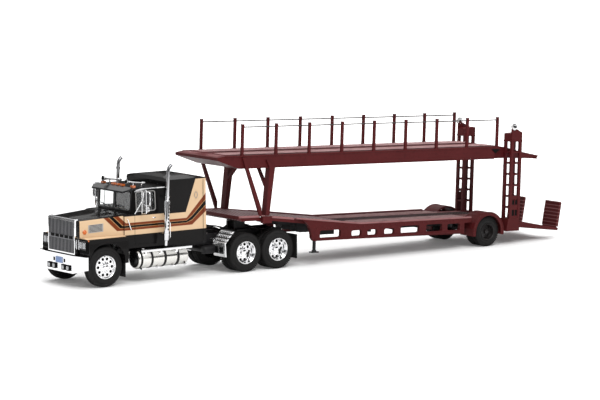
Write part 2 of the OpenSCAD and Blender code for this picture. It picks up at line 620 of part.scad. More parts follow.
module tank_steps() color([0.85, 0.85, 0.87]) on_road() both_sides() difference() {
    union() {
        box([tank_x0 + 2, tank_y + 1.2, tank_z + tank_r - 1.2],
            [tank_x0 + tank_len + 2, tank_y + 6.4, tank_z + tank_r]);
        for (x = [tank_x0 + 5 : 12 : tank_x0 + tank_len - 4])
            box([x, tank_y + 1.2, tank_z + 3], [x + 1.2, tank_y + 5.9, tank_z + tank_r]);
    }
    rod_x(tank_y, tank_z, tank_r + seat_gap, tank_x0 - 1, tank_x0 + tank_len + 5);
}

// The stacks lean back by this much per unit of height
stack_lean = 0.045;
tip_bend = 5;
stack_x = cab_rear - 2.4;
function stack_at(z) = [stack_x - (stack_z - z) * stack_lean, stack_y, z];
module exhaust_stacks() color([0.85, 0.85, 0.87]) on_road() both_sides() {
    bar(stack_at(cab_z0 + 0.6), stack_at(stack_z + 0.4), pipe_r - 0.1);
    bar(stack_at(27), stack_at(52.6), shield_r);
    bar(stack_at(stack_z - 2.6), stack_at(stack_z - 1.8), pipe_r + 0.25);
    // Tip, slipped over the leaning pipe and curved rearwards
    start = atan(stack_lean);
    translate([stack_x + tip_bend * cos(start), stack_y, stack_z - tip_bend * sin(start)]) rotate([90, 0, 0])
        rotate([0, 0, 180 - 62]) rotate_extrude(angle = 62 - start) translate([tip_bend, 0]) circle(r = pipe_r);
    // Brackets to the cab side
    difference() {
        for (z = [30, 54]) translate([stack_at(z)[0], 0, z])
            box([-0.6, door_top_half - 0.5, 0], [0.6, stack_y - 0.9, 1.2]);
        cab_block(0, cab_z0);
    }
}

module quarter_fenders() color([0.85, 0.85, 0.87]) on_road() both_sides() {
    x1 = axle_one_x - tyre_r - 3.9;
    side_on(13, track_half + 0.2) polygon([[x1, 11.3], [x1 - 0.6, 20.4], [x1 + 6.4, 28.2], [x1 + 7.2, 27.5],
        [x1 + 0.3, 20], [x1 + 0.9, 11.3]]);
    box([x1 - 0.5, rail_half, 20.6], [x1 + 0.4, 13, 22.4]);
}

// ---------------------------------------------------------------- trailer decks

module gooseneck() color([0.42, 0.13, 0.14]) on_trailer() {
    side_on(-wide_half, wide_half) polygon([[-neck_reach, neck_w - 0.8], [-neck_reach, neck_w], [neck_flat, neck_w],
        [slope_end, deck_w], [slope_end, deck_w - deck_t], [plate_r + 1, 0], [-neck_reach + 3, 0]]);
    both_sides() box([2.6, wide_half, neck_w - 4.6], [10, wide_half + 2.6, neck_w]);
}

module kingpin() color([0.6, 0.6, 0.62]) on_road() difference() {
    rod_z(kingpin_x, 0, kingpin_r, frame_z1 + 1.6, plate_z + 1);
    translate([kingpin_x, 0, plate_z]) rotate([0, deck_pitch, 0]) box([-5, -5, 0], [5, 5, 5]);
}

module lower_deck() color([0.42, 0.13, 0.14]) on_trailer() {
    box([slope_end, -wide_half, deck_w - deck_t], [box_front_u, wide_half, deck_w]);
    box([box_front_u, -box_in, deck_w - deck_t], [tail_u, box_in, deck_w]);
}

// Windows in a side frame: from and to along the deck, and their height
side_windows = [[50.3, 68.2, 5], [77.2, 86, 3.8], [91, 99.5, 3.8], [105.5, 114.5, 3.8], [120, 136.5, 5],
    [142.5, 157, 5], [161.5, 173, 4.6]];
module side_frame_outline() {
    z0 = side_w0;
    difference() {
        polygon(concat([[29.8, neck_top(29.8)]], [[slope_end, deck_w + 0.4], [box_front_u, deck_w + 0.4],
            [box_front_u, deck_w - 3], [box_front_u - 6.4, deck_w - 3.4], [box_front_u - 6.4, z0 - 1.2],
            [45, z0]], arc([29.8, z0 + 2], 13.6, 0, 78, 8)));
        for (row = side_windows) let (from = row[0], to = row[1], height = row[2])
            if (to < box_front_u - 8) round_window(from, z0 + 1.6, to, z0 + 1.6 + height, 1.2);
    }
}
function neck_top(u) = blend(neck_w, deck_w, (u - neck_flat) / (slope_end - neck_flat)) + 0.4;
module side_frames() color([0.42, 0.13, 0.14]) on_trailer() both_sides()
    side_on(wide_half, wide_half + side_t) side_frame_outline();

module undercarriage() color([0.08, 0.07, 0.07]) on_trailer() both_sides() {
    side_on(5, 12) polygon([[26, neck_under(26)], [50, neck_under(50)], [50, -11.2], [42.6, -10.4],
        [41.6, -5.4], [26, -5.2]]);
    side_on(5, 12) polygon([[58, neck_under(58)], [74, neck_under(74)], [74, -13.4], [58, -13.4]]);
    box([slope_end, 5, deck_w - deck_t - 4], [axle_u - 14, 7, deck_w - deck_t]);
    for (u = [slope_end + 10 : 24 : axle_u - 16])
        box([u, 7, deck_w - deck_t - 3], [u + 2, wide_half, deck_w - deck_t]);
}
function neck_under(u) = blend(0, deck_w - deck_t, (u - plate_r - 1) / (slope_end - plate_r - 1));

module wheel_boxes() color([0.42, 0.13, 0.14]) on_trailer() both_sides() translate([axle_u, 0, axle_w]) {
    inner = box_r - 1;
    side_on(box_in, box_out - 0.6) polygon(concat(arc([0, 0], box_r, -10, 180, 20), [[-box_r, -2.6],
        [-inner, -2.6]], arc([0, 0], inner, 180, -10, 20)));
    side_on(box_out - 0.6, box_out) polygon(concat(arc([0, 0], box_r, -10, 180, 20), [[-box_r, -2.6],
        [-trailer_tyre_r - box_gap, -2.6]], arc([0, 0], trailer_tyre_r + box_gap, 180, -10, 20)));
}

module trailer_axle_beam() color([0.09, 0.09, 0.1]) on_road() difference() {
    union() {
        rod_y(trailer_axle_x, trailer_tyre_r, 1.8, -trailer_beam_half, trailer_beam_half);
        intersection() {
            both_sides() box([trailer_axle_x - 3, 8, trailer_tyre_r], [trailer_axle_x + 3, 10, plate_z]);
            translate([kingpin_x, 0, plate_z]) rotate([0, deck_pitch, 0])
                box([0, -30, -60], [300, 30, deck_w - deck_t]);
        }
    }
    rod_y(trailer_axle_x, trailer_tyre_r, pin_r + run_gap, -30, 30);
}

module support_legs() color([0.08, 0.07, 0.07]) on_trailer() both_sides() {
    y = wide_half + side_t / 2;
    rod_z(46.6, y, 1, -22.4, side_w0 - 0.02);
    box([43.6, y - 1.6, -23.2], [49.6, y + 1.6, -22.4]);
}

module pillars() color([0.42, 0.13, 0.14]) on_trailer() both_sides() {
    foot = neck_w;
    under = upper_w - beam_h;
    side_on(deck_half - 3.5, deck_half + 1.5) polygon([[6, foot], [8.9, foot], [12.6, under], [8.4, under]]);
    side_on(deck_half, deck_half + 1.5) polygon([[8.4, under], [12.6, under], [12.2, under + 1.4],
        [11.2, under + 2.2], [5.6, under + 5.4]]);
}

module deck_braces() color([0.42, 0.13, 0.14]) on_trailer() both_sides() {
    under = upper_w - beam_h;
    // Raking strut ahead of the pillar
    side_on(deck_half + 0.02, deck_half + 1.7) polygon([[-13.9, upper_w - 1.6], [-12, upper_w - 1.2], [2.3, neck_w + 5],
        [2.3, neck_w], [1.2, neck_w]]);
    // Knee brace inwards to the deck
    intersection() {
        end_on(5, 12) polygon([[deck_half - 3.5, under - 12.4], [deck_half - 3.5, under - 9.6],
            [deck_half - 12.4, under], [deck_half - 14.6, under]]);
        side_on(0, deck_half) polygon([[7.1, under - 13], [8.9, under - 13], [10.4, under], [8.6, under]]);
    }
}

tail_slope_u = tower_u - 5;
module upper_deck() color([0.42, 0.13, 0.14]) on_trailer() {
    under = upper_w - beam_h;
    beam_end = tower_u - 11;
    plate_end = tower_u - 5.6;
    knee = -15.7;
    difference() {
        side_on(-deck_half, deck_half) polygon([[-upper_reach, upper_w - 2.8], [-upper_reach, upper_w - 1],
            [-upper_reach + 6, upper_w], [tail_slope_u, upper_w], [tail_slope_u + 7, upper_w - 1],
            [tail_slope_u + 22, upper_w - 4.6], [tail_tip_u, under + 0.9], [tail_tip_u - 1.6, under - 1.2],
            [tail_tip_u - 30, under], [knee, under]]);
        both_sides() {
            box([beam_end, tail_half, under - 1], [tail_tip_u + 1, deck_half + 1, upper_w - upper_t]);
            box([plate_end, tail_half, under - 1], [tail_tip_u + 1, deck_half + 1, upper_w + 1]);
        }
        // Bays between the ribs, open underneath
        for (i = [0 : posts_n - 2]) {
            from = max(14.4, post_first + i * post_step + 1);
            to = min(beam_end - 3, post_first + (i + 1) * post_step - 1);
            if (to > from + 4)
                box([from, -deck_half + 2, under - 1], [to, deck_half - 2, upper_w - upper_t]);
        }
    }
    // Runways
    both_sides() box([-upper_reach + 9, 5, upper_w - 0.2], [tail_slope_u - 1, 20, upper_w + runway_h]);
}

function post_u(i) = post_first + i * post_step;
wire_w = upper_w + post_h - 1.8;
module guard_posts() {
    for (i = [0 : posts_n - 1]) difference() {
        box([post_u(i) - post_w / 2, deck_half - post_w, upper_w],
            [post_u(i) + post_w / 2, deck_half, upper_w + post_h]);
        rod_x(deck_half - post_w / 2, wire_w, wire_r + run_gap, post_u(i) - 2, post_u(i) + 2);
    }
}
module guard_posts_left() color([0.42, 0.13, 0.14]) on_trailer() mirror([0, 1, 0]) guard_posts();
module guard_posts_right() color([0.42, 0.13, 0.14]) on_trailer() guard_posts();
module guard_wires() color([0.5, 0.48, 0.48]) on_trailer() both_sides()
    rod_x(deck_half - post_w / 2, wire_w, wire_r, post_u(0) - 1, post_u(posts_n - 1) + 1);

module tower() {
    y0 = tower_in;
    y1 = tower_in + tower_w;
    u0 = tower_u;
    u1 = tower_u + tower_len;
    p = tower_post;
    step = (tower_cap_w - tower_base_w1) / rungs_n;
    pane = (tower_len - 2 * tower_post - 0.2) / 2;
    side_on(y0, y1) polygon([[u0 - 2.4, tower_base_w0], [u0 - 0.8, tower_base_w1], [u1, tower_base_w1],
        [u1, tower_base_w0]]);
    for (u = [u0, u1 - p], y = [y0, y1 - p])
        box([u, y, tower_base_w1], [u + p, y + p, tower_cap_w]);
    for (i = [1 : rungs_n - 1]) let (w = tower_base_w1 + i * step) {
        for (y = [y0 + 0.2, y1 - 1.2]) box([u0 + p, y, w - 0.5], [u1 - p, y + 1, w + 0.5]);
        for (u = [u0 + 0.2, u1 - 1.2]) box([u, y0 + p, w - 0.5], [u + 1, y1 - p, w + 0.5]);
    }
    // Ladder panel low on the outer face
    difference() {
        box([u0 + p, y1 - 0.8, tower_base_w1], [u1 - p, y1 - 0.2, tower_base_w1 + 2 * step]);
        for (i = [0, 1], j = [0, 1])
            box([u0 + p + 0.4 + i * pane, y1 - 2, tower_base_w1 + 2 + j * step],
                [u0 + p + pane - 0.1 + i * pane, y1 + 1, tower_base_w1 - 1.6 + (j + 1) * step]);
    }
    // Cap, with the outer plate rising to the ear of the pulley
    side_on(y0, y1) polygon([[u0, tower_cap_w], [u0, tower_cap_w + 5.2], [u1, tower_cap_w + 6], [u1, tower_cap_w]]);
    difference() {
        side_on(y1 - 1.2, y1) polygon([[u0, tower_cap_w + 5], [u0, tower_cap_w + 8.4], [u0 + 1.4, tower_cap_w + 10],
            [u1, tower_cap_w + 6], [u1, tower_cap_w + 5]]);
        rod_y(pulley_u, pulley_w, pulley_pin_r + run_gap, y1 - 2, y1 + 1);
    }
}
pulley_pin_r = 0.5;
pulley_u = tower_u + 1.9;
pulley_w = tower_cap_w + 8.3;
pulley_y = tower_in + tower_w - 2.2;
module tower_left() color([0.42, 0.13, 0.14]) on_trailer() mirror([0, 1, 0]) tower();
module tower_right() color([0.42, 0.13, 0.14]) on_trailer() tower();
module pulleys() color([0.75, 0.75, 0.77]) on_trailer() both_sides() {
    rod_y(pulley_u, pulley_w, pulley_r, pulley_y - 0.8, pulley_y + 0.8);
    rod_y(pulley_u, pulley_w, pulley_pin_r, pulley_y + 0.8, pulley_y + 2.2);
}

// ---------------------------------------------------------------- tail and ramps

ramp_out = tail_wide;
knuckle_r = 1.1;
hinge_pin_r = 0.5;
module tail_deck() color([0.42, 0.13, 0.14]) on_trailer() {
    profile = [[tail_u, deck_w], [tail_end_u, tail_end_w], [tail_end_u, tail_end_w - 1.9],
        [blend(tail_u, tail_end_u, 0.4), blend(deck_w, tail_end_w, 0.4) - 4.6], [tail_u, deck_w - deck_t]];
    side_on(-box_in, box_in) polygon(profile);
    // Wider behind the wheel boxes, and at its widest behind the towers
    for (row = [[box_rear_u + 0.5, tower_in], [tower_u + tower_len, tail_wide]])
        let (from = row[0], half = row[1]) intersection() {
            side_on(-half, half) polygon(profile);
            box([from, -40, -60], [tail_end_u + 1, 40, 10]);
        }
    // Hinge ears with the pin that joins them
    both_sides() {
        for (y = [ramp_in - 1.1, ramp_out - 1]) side_on(y, y + 1) polygon(concat([[tail_end_u - 1, tail_end_w - 0.3],
            [tail_end_u - 1, tail_end_w - 1.7]], arc([hinge_u, hinge_w], knuckle_r, -90, 90, 8)));
        rod_y(hinge_u, hinge_w, hinge_pin_r, ramp_in - 0.6, ramp_out - 0.5);
    }
}

module ramp() on_road() translate([hinge_x, 0, hinge_z]) rotate([0, ramp_lean, 0]) difference() {
    y0 = ramp_in + 0.1;
    y1 = ramp_out - 1.2;
    foot = knuckle_r + 0.4;
    union() {
        rod_y(0, 0, knuckle_r, y0, y1);
        box([-ramp_t / 2, y0, 0], [ramp_t / 2, y1, foot + 0.1]);
        box([-ramp_t / 2, ramp_in, foot], [ramp_t / 2, ramp_out, ramp_h]);
        for (i = [0 : 4]) let (y = blend(y0, ramp_out - 1, i / 4))
            box([ramp_t / 2 - 0.02, y, foot + 0.2], [ramp_t / 2 + ramp_rib, y + 0.8, ramp_h - ramp_end]);
    }
    rod_y(0, 0, hinge_pin_r + run_gap, y0 - 1, y1 + 1);
}
module ramp_left() color([0.36, 0.1, 0.11]) mirror([0, 1, 0]) ramp();
module ramp_right() color([0.36, 0.1, 0.11]) ramp();

frame_rails();
crossmembers();
front_bumper();
grille_surround();
grille_bars();
bonnet();
front_wings();
headlamps();
cab_shell();
windows();
seats();
dashboard();
steering_wheel();
sleeper_box();
sun_visor();
air_horns();
roof_lamps();
mirrors();
exhaust_stacks();
fuel_tanks();
tank_steps();
quarter_fenders();
fifth_wheel();
front_mudflaps();
rear_mudflaps();
front_axle_beam();
drive_axle_housings();
front_tyres();
front_rims();
front_axle_pin();
first_drive_tyres();
first_drive_rims();
first_drive_pin();
second_drive_tyres();
second_drive_rims();
second_drive_pin();
gooseneck();
kingpin();
lower_deck();
side_frames();
undercarriage();
wheel_boxes();
trailer_axle_beam();
support_legs();
pillars();
deck_braces();
upper_deck();
guard_posts_left();
guard_posts_right();
guard_wires();
tower_left();
tower_right();
pulleys();
tail_deck();
trailer_tyres();
trailer_rims();
trailer_pin();
ramp_left();
ramp_right();
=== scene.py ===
import math

import bmesh
import bpy
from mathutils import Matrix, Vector


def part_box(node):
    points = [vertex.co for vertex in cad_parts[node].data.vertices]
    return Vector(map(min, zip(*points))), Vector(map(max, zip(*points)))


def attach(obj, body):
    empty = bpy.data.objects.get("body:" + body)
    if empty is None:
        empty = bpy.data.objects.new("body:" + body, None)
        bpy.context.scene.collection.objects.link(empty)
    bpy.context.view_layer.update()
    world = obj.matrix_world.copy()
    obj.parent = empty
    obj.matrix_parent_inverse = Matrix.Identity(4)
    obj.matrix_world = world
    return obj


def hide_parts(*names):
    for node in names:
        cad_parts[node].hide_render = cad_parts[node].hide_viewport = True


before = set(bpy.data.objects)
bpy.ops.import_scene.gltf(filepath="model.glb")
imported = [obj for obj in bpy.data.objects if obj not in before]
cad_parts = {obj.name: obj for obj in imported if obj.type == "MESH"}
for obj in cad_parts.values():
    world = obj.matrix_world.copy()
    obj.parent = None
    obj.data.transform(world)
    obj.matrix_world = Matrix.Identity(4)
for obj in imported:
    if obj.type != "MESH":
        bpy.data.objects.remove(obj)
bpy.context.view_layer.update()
scene = bpy.context.scene

# ---------------------------------------------------------------- stand and light
# The model stands on a white sweep of card under three soft panels, as a collector's
# model does for its catalogue. Sizes below are in millimetres from the front axle, where
# X runs back to the tail, Y to the right side and Z up.
MM = 0.001
AXLE_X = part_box("front_bumper")[0].x + 18.2 * MM
KINGPIN_X, PLATE_Z, PITCH = 120.0, 33.0, math.radians(2)


def place(x, y, z):
    """A point of the tractor, in metres."""
    return Vector((AXLE_X + x * MM, y * MM, z * MM))


def on_deck(u, y, w):
    """A point of the sloping trailer: u along its decks from the kingpin, w above the fifth wheel."""
    return place(KINGPIN_X + u * math.cos(PITCH) + w * math.sin(PITCH), y,
                 PLATE_Z - u * math.sin(PITCH) + w * math.cos(PITCH))


class Wire:
    """A shader value. Sums, products and comparisons of wires add their Math nodes."""

    def __init__(self, finish, socket):
        self.finish, self.socket = finish, socket

    def math(self, operation, *others, clamp=False):
        return self.finish.node("ShaderNodeMath", {"operation": operation, "use_clamp": clamp},
                                {i: v for i, v in enumerate((self, *others))})

    def __add__(self, other): return self.math("ADD", other)
    def __sub__(self, other): return self.math("SUBTRACT", other)
    def __mul__(self, other): return self.math("MULTIPLY", other)
    def __truediv__(self, other): return self.math("DIVIDE", other)
    def __radd__(self, other): return self.math("ADD", other)
    def __rmul__(self, other): return self.math("MULTIPLY", other)
    def __rsub__(self, other): return self.finish.number("SUBTRACT", other, self)
    def least(self, other): return self.math("MINIMUM", other)
    def most(self, other): return self.math("MAXIMUM", other)
    def size(self): return self.math("ABSOLUTE")
    def cycle(self, length): return self.math("FLOORED_MODULO", length)

    def over(self, edge, soft=0.12):
        """1 where the value is above the edge, 0 below, with a soft border."""
        return ((self - edge) / soft + 0.5).math("ADD", 0.0, clamp=True)

    def under(self, edge, soft=0.12):
        return 1 - self.over(edge, soft)

    def between(self, low, high, soft=0.12):
        return self.over(low, soft) * self.under(high, soft)


class Finish:
    """A paint, plating or moulding: a Principled surface with places in millimetres."""

    def __init__(self, name, metallic=0.0, coat=0.0, coat_roughness=0.03, ior=1.5, transmission=0.0,
                 shine=0.5):
        self.material = bpy.data.materials.new(name)
        self.material.use_nodes = True
        self.tree = self.material.node_tree
        self.tree.nodes.clear()
        out = self.tree.nodes.new("ShaderNodeOutputMaterial")
        self.shader = self.tree.nodes.new("ShaderNodeBsdfPrincipled")
        self.tree.links.new(self.shader.outputs[0], out.inputs[0])
        for socket, value in (("Metallic", metallic), ("Coat Weight", coat),
                              ("Coat Roughness", coat_roughness), ("IOR", ior),
                              ("Transmission Weight", transmission), ("Specular IOR Level", shine)):
            self.shader.inputs[socket].default_value = value
        self.spot = self.node("ShaderNodeTexCoord", {}, {}, "Object")
        parts = self.tree.nodes.new("ShaderNodeSeparateXYZ")
        self.tree.links.new(self.spot.socket, parts.inputs[0])
        x, y, z = (Wire(self, s) for s in parts.outputs)
        self.x = x * 1000 - AXLE_X * 1000
        self.y = y * 1000
        self.z = z * 1000

    def deck_places(self):
        """Adds the sloping trailer's own places, u along and w up."""
        c, s = math.cos(PITCH), math.sin(PITCH)
        self.u = (self.x - KINGPIN_X) * c - (self.z - PLATE_Z) * s
        self.w = (self.x - KINGPIN_X) * s + (self.z - PLATE_Z) * c

    def node(self, kind, settings, inputs, output=0):
        """Any node: its settings come first, then the values or links of its sockets."""
        n = self.tree.nodes.new(kind)
        for key, value in settings.items():
            setattr(n, key, value)
        for key, value in inputs.items():
            if isinstance(value, Wire):
                self.tree.links.new(value.socket, n.inputs[key])
            else:
                n.inputs[key].default_value = value
        return Wire(self, n.outputs[output])

    def number(self, operation, a, b):
        return self.node("ShaderNodeMath", {"operation": operation}, {0: a, 1: b})

    def noise(self, scale, detail=3.0):
        """Soft random value round 0.5, with features of about 1/scale metres."""
        return self.node("ShaderNodeTexNoise", {}, {"Vector": self.spot, "Scale": scale, "Detail": detail})

    def mottle(self, dark, light, rough, spread, scale, detail=3.0):
        """Cloudy colour, with the roughness following the clouds. Gives back the clouds."""
        cloud = self.noise(scale, detail)
        self.set("Base Color", self.mix(cloud, dark, light))
        self.set("Roughness", rough + cloud * spread)
        return cloud

    def mix(self, amount, a, b):
        """Colour a where amount is 0 and colour b where it is 1."""
        rgba = [(*c, 1.0) if isinstance(c, tuple) else c for c in (a, b)]
        return self.node("ShaderNodeMix", {"data_type": "RGBA"}, {0: amount, 6: rgba[0], 7: rgba[1]}, 2)

    def set(self, socket, value):
        if isinstance(value, Wire):
            self.tree.links.new(value.socket, self.shader.inputs[socket])
        else:
            self.shader.inputs[socket].default_value = (*value, 1.0) if isinstance(value, tuple) else value

    def bump(self, height, distance, strength=1.0):
        """Relief whose depth, in millimetres, is distance times height."""
        self.set("Normal", self.node("ShaderNodeBump", {}, {"Height": height, "Strength": strength,
                                                            "Distance": distance * MM}))

    def coat_nodes(self, *names):
        """Puts the finish on CAD nodes whose shape is right as it is."""
        for name in names:
            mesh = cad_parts[name].data
            mesh.materials.clear()
            mesh.materials.append(self.material)
            mesh.polygons.foreach_set("material_index", [0] * len(mesh.polygons))


card = Finish("white_card")
card.mottle((0.86, 0.86, 0.86), (0.9, 0.9, 0.9), 0.55, 0.2, 900, 4)
card.set("Specular IOR Level", 0.2)
bpy.ops.mesh.primitive_plane_add(size=14, location=(0, 0, 0))
floor = bpy.context.object
floor.name = "floor"
floor.data.materials.append(card.material)
# Seen by the camera or in a reflection, the card away from the model's shadow is plain white.
look = card.tree.nodes.new("ShaderNodeLightPath")
seen = Wire(card, look.outputs["Is Camera Ray"]).most(Wire(card, look.outputs["Is Glossy Ray"]))
seen = seen.most(Wire(card, look.outputs["Is Transmission Ray"]))
card.set("Emission Color", (1.0, 1.0, 1.0))
far = (card.x * card.x + card.y * card.y).math("SQRT").over(700.0, 700.0)
card.tree.links.new((seen * (far * 0.6 + 0.1)).socket, card.shader.inputs["Emission Strength"])

# Dark flags stand round the set, below the panels, so that plating and gloss paint have an edge.
flags = bmesh.new()
for middle, reach in ((52.7, 30), (127.3, 7), (232.7, 24), (307.3, 26)):
    corners = []
    for turn in (-1.0, -0.5, 0.0, 0.5, 1.0):
        a = math.radians(middle + turn * reach)
        corners.append([flags.verts.new((1.7 * math.cos(a), 1.7 * math.sin(a), h)) for h in (0.04, 0.62)])
    for left, right in zip(corners, corners[1:]):
        flags.faces.new((left[0], right[0], right[1], left[1]))
# Two more lie flat on the card, where the stacks and the undersides would mirror it.
for start, stop, inner in ((0, 100, 0.22), (136, 224, 0.42)):
    turns = [math.radians(start + (stop - start) * i / 8) for i in range(9)]
    rows = [[flags.verts.new((r * math.cos(a), r * math.sin(a), 0.002)) for a in turns]
            for r in (inner, 1.65)]
    for i in range(8):
        flags.faces.new((rows[0][i], rows[0][i + 1], rows[1][i + 1], rows[1][i]))
flag_data = bpy.data.meshes.new("flags")
flags.to_mesh(flag_data)
flags.free()
flag = bpy.data.objects.new("flags", flag_data)
scene.collection.objects.link(flag)
felt = Finish("flag_felt")
felt.set("Base Color", felt.mix(felt.noise(3), (0.015, 0.015, 0.015), (0.03, 0.03, 0.03)))
felt.set("Roughness", 0.9)
flag.data.materials.append(felt.material)
flag.visible_camera = flag.visible_diffuse = flag.visible_transmission = flag.visible_shadow = False

world = bpy.data.worlds.new("studio")
scene.world = world
world.use_nodes = True
nodes, links = world.node_tree.nodes, world.node_tree.links
nodes.clear()
path = nodes.new("ShaderNodeLightPath")
glossy = nodes.new("ShaderNodeMath")
glossy.operation = "MAXIMUM"
links.new(path.outputs["Is Glossy Ray"], glossy.inputs[0])
links.new(path.outputs["Is Transmission Ray"], glossy.inputs[1])
direct = nodes.new("ShaderNodeMath")
direct.operation = "MAXIMUM"
links.new(path.outputs["Is Camera Ray"], direct.inputs[0])
links.new(glossy.outputs[0], direct.inputs[1])
level = nodes.new("ShaderNodeMapRange")
level.inputs["To Min"].default_value = 0.5
level.inputs["To Max"].default_value = 1.0
links.new(direct.outputs[0], level.inputs[0])
sky = nodes.new("ShaderNodeBackground")
sky.inputs[0].default_value = (1, 1, 1, 1)
links.new(level.outputs[0], sky.inputs[1])
links.new(sky.outputs[0], nodes.new("ShaderNodeOutputWorld").inputs[0])


def panel(name, where, aim, size, power):
    data = bpy.data.lights.new(name, "AREA")
    data.shape, data.size, data.size_y, data.energy = "RECTANGLE", size[0], size[1], power
    lamp = bpy.data.objects.new(name, data)
    scene.collection.objects.link(lamp)
    lamp.location = where
    lamp.rotation_euler = (Vector(aim) - Vector(where)).to_track_quat("-Z", "Y").to_euler()
    lamp.visible_glossy = name == "key_panel"


panel("key_panel", (-0.35, -0.75, 0.85), (0, 0, 0.03), (0.7, 0.5), 9.0)
panel("top_panel", (0.1, 0.1, 1.0), (0, 0, 0), (0.9, 0.6), 7.0)
panel("rear_panel", (0.7, 0.7, 0.6), (0, 0, 0.05), (0.6, 0.4), 5.0)

view = bpy.data.cameras.new("view")
camera = bpy.data.objects.new("view", view)
scene.collection.objects.link(camera)
turn, rise = math.radians(-37.318), math.radians(6.935)
back = Vector((math.sin(turn) * math.cos(rise), -math.cos(turn) * math.cos(rise), math.sin(rise)))
camera.location = place(173.766, 0, 40.424) + back * 1.93305
camera.rotation_euler = (-back).to_track_quat("-Z", "Y").to_euler()
view.sensor_width = 36.0
view.lens = 172.19
view.clip_start, view.clip_end = 0.01, 50
scene.camera = camera
scene.view_settings.view_transform = "Standard"

# ---------------------------------------------------------------- frame and axles
# Two die-cast rails with their crossmembers carry the tractor. They are dipped in a satin black of cloudy
# tone, and the axles hang under them.
class Mould:
    """Gathers a piece's faces. Points are in millimetres, on the road or on the sloping deck."""

    def __init__(self, where=place):
        self.mesh, self.where = bmesh.new(), where

    def loft(self, rings, closed=True, ends=True):
        """Skin over a row of rings of points."""
        rows = [[self.mesh.verts.new(self.where(*p)) for p in ring] for ring in rings]
        n = len(rows[0])
        for a, b in zip(rows, rows[1:]):
            for i in range(n if closed else n - 1):
                j = (i + 1) % n
                self.mesh.faces.new((a[i], a[j], b[j], b[i]))
        if ends:
            self.mesh.faces.new(rows[0])
            self.mesh.faces.new(reversed(rows[-1]))
        return self

    def box(self, low, high):
        (a, b, c), (d, e, f) = low, high
        return self.loft([[(a, b, z), (d, b, z), (d, e, z), (a, e, z)] for z in (c, f)])

    def side_on(self, outline, y0, y1):
        return self.loft([[(x, y, z) for x, z in outline] for y in (y0, y1)])

    def end_on(self, outline, x0, x1):
        return self.loft([[(x, y, z) for y, z in outline] for x in (x0, x1)])

    def turn(self, profile, centre, axis="Y", n=48, ends=False):
        """A turned part: profile of (along the axis, radius), from centre."""
        def ring(along, r):
            out = []
            for i in range(n):
                a = 2 * math.pi * i / n
                p, q = r * math.cos(a), r * math.sin(a)
                spot = {"X": (along, p, q), "Y": (p, along, q), "Z": (p, q, along)}[axis]
                out.append(tuple(c + s for c, s in zip(centre, spot)))
            return out
        return self.loft([ring(*row) for row in profile], ends=ends)

    def tube(self, path, r, n=10, closed=False):
        """A bent rod along a path of points."""
        path = [Vector(p) for p in path]
        rings, up = [], None
        for i, p in enumerate(path):
            a = path[i - 1] if i or closed else p
            b = path[(i + 1) % len(path)] if i + 1 < len(path) or closed else p
            way = (b - a).normalized()
            if up is None:
                up = way.orthogonal().normalized()
            up = (up - way * up.dot(way)).normalized()
            side = way.cross(up)
            thick = r[i] if isinstance(r, (list, tuple)) else r
            rings.append([tuple(p + (up * math.cos(t) + side * math.sin(t)) * thick)
                          for t in (2 * math.pi * k / n for k in range(n))])
        if closed:
            rings.append(rings[0])
        return self.loft(rings, ends=not closed)

    def both(self):
        """Adds the same again on the other side of the model."""
        copy = bmesh.ops.duplicate(self.mesh, geom=self.mesh.verts[:] + self.mesh.faces[:])
        for v in (g for g in copy["geom"] if isinstance(g, bmesh.types.BMVert)):
            v.co.y = -v.co.y
        faces = [g for g in copy["geom"] if isinstance(g, bmesh.types.BMFace)]
        bmesh.ops.reverse_faces(self.mesh, faces=faces)
        return self

    def cast(self, name, finish, body, slot, replaces=(), bevel=0.0, smooth=35):
        """Turns the gathered faces into a piece that rides on a body."""
        bmesh.ops.remove_doubles(self.mesh, verts=self.mesh.verts[:], dist=1e-6)
        bmesh.ops.recalc_face_normals(self.mesh, faces=self.mesh.faces[:])
        data = bpy.data.meshes.new(name)
        self.mesh.to_mesh(data)
        self.mesh.free()
        return finish_piece(name, data, finish, body, replaces, bevel, smooth)


def finish_piece(name, data, finish, body, replaces=(), bevel=0.0, smooth=35):
    piece = bpy.data.objects.new(name, data)
    scene.collection.objects.link(piece)
    data.materials.clear()
    data.materials.append(finish.material)
    data.shade_smooth()
    data.set_sharp_from_angle(angle=math.radians(smooth))
    if bevel:
        edge = piece.modifiers.new("edges", "BEVEL")
        edge.width, edge.segments, edge.limit_method = bevel * MM, 2, "ANGLE"
        edge.angle_limit = math.radians(40)
        edge.harden_normals = True
    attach(piece, body)
    if replaces:
        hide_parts(*replaces)
    return piece


def arc(centre, r, start, stop, n=8):
    return [(centre[0] + r * math.cos(math.radians(start + (stop - start) * i / n)),
             centre[1] + r * math.sin(math.radians(start + (stop - start) * i / n))) for i in range(n + 1)]


def rounded(x0, z0, x1, z1, r, n=5):
    """Outline of a plate with rounded corners."""
    return (arc((x1 - r, z1 - r), r, 0, 90, n) + arc((x0 + r, z1 - r), r, 90, 180, n)
            + arc((x0 + r, z0 + r), r, 180, 270, n) + arc((x1 - r, z0 + r), r, 270, 360, n))


frame_black = Finish("frame_black", shine=0.2)
frame_black.mottle((0.006, 0.006, 0.007), (0.015, 0.014, 0.015), 0.36, 0.2, 140)
frame_black.bump(frame_black.noise(2600, 2), 0.02, 0.5)
frame_black.coat_nodes("frame_rails", "crossmembers", "front_axle_beam", "drive_axle_housings",
                       "trailer_axle_beam", "undercarriage", "support_legs")

DRIVE_AXLES = (109.85, 136.15)


def leaf_stack(mould, x, z, half, shorter, lower, rise, y0, y1):
    """Three curved leaves, each shorter and lower than the one above."""
    for leaf in range(3):
        reach = half - leaf * shorter
        line = []
        for i in range(13):
            t = 2 * i / 12 - 1
            line.append((x + t * reach, z - leaf * lower + rise * (t * reach / half) ** 2))
        mould.side_on(line + [(p, q - 0.5) for p, q in reversed(line)], y0, y1)


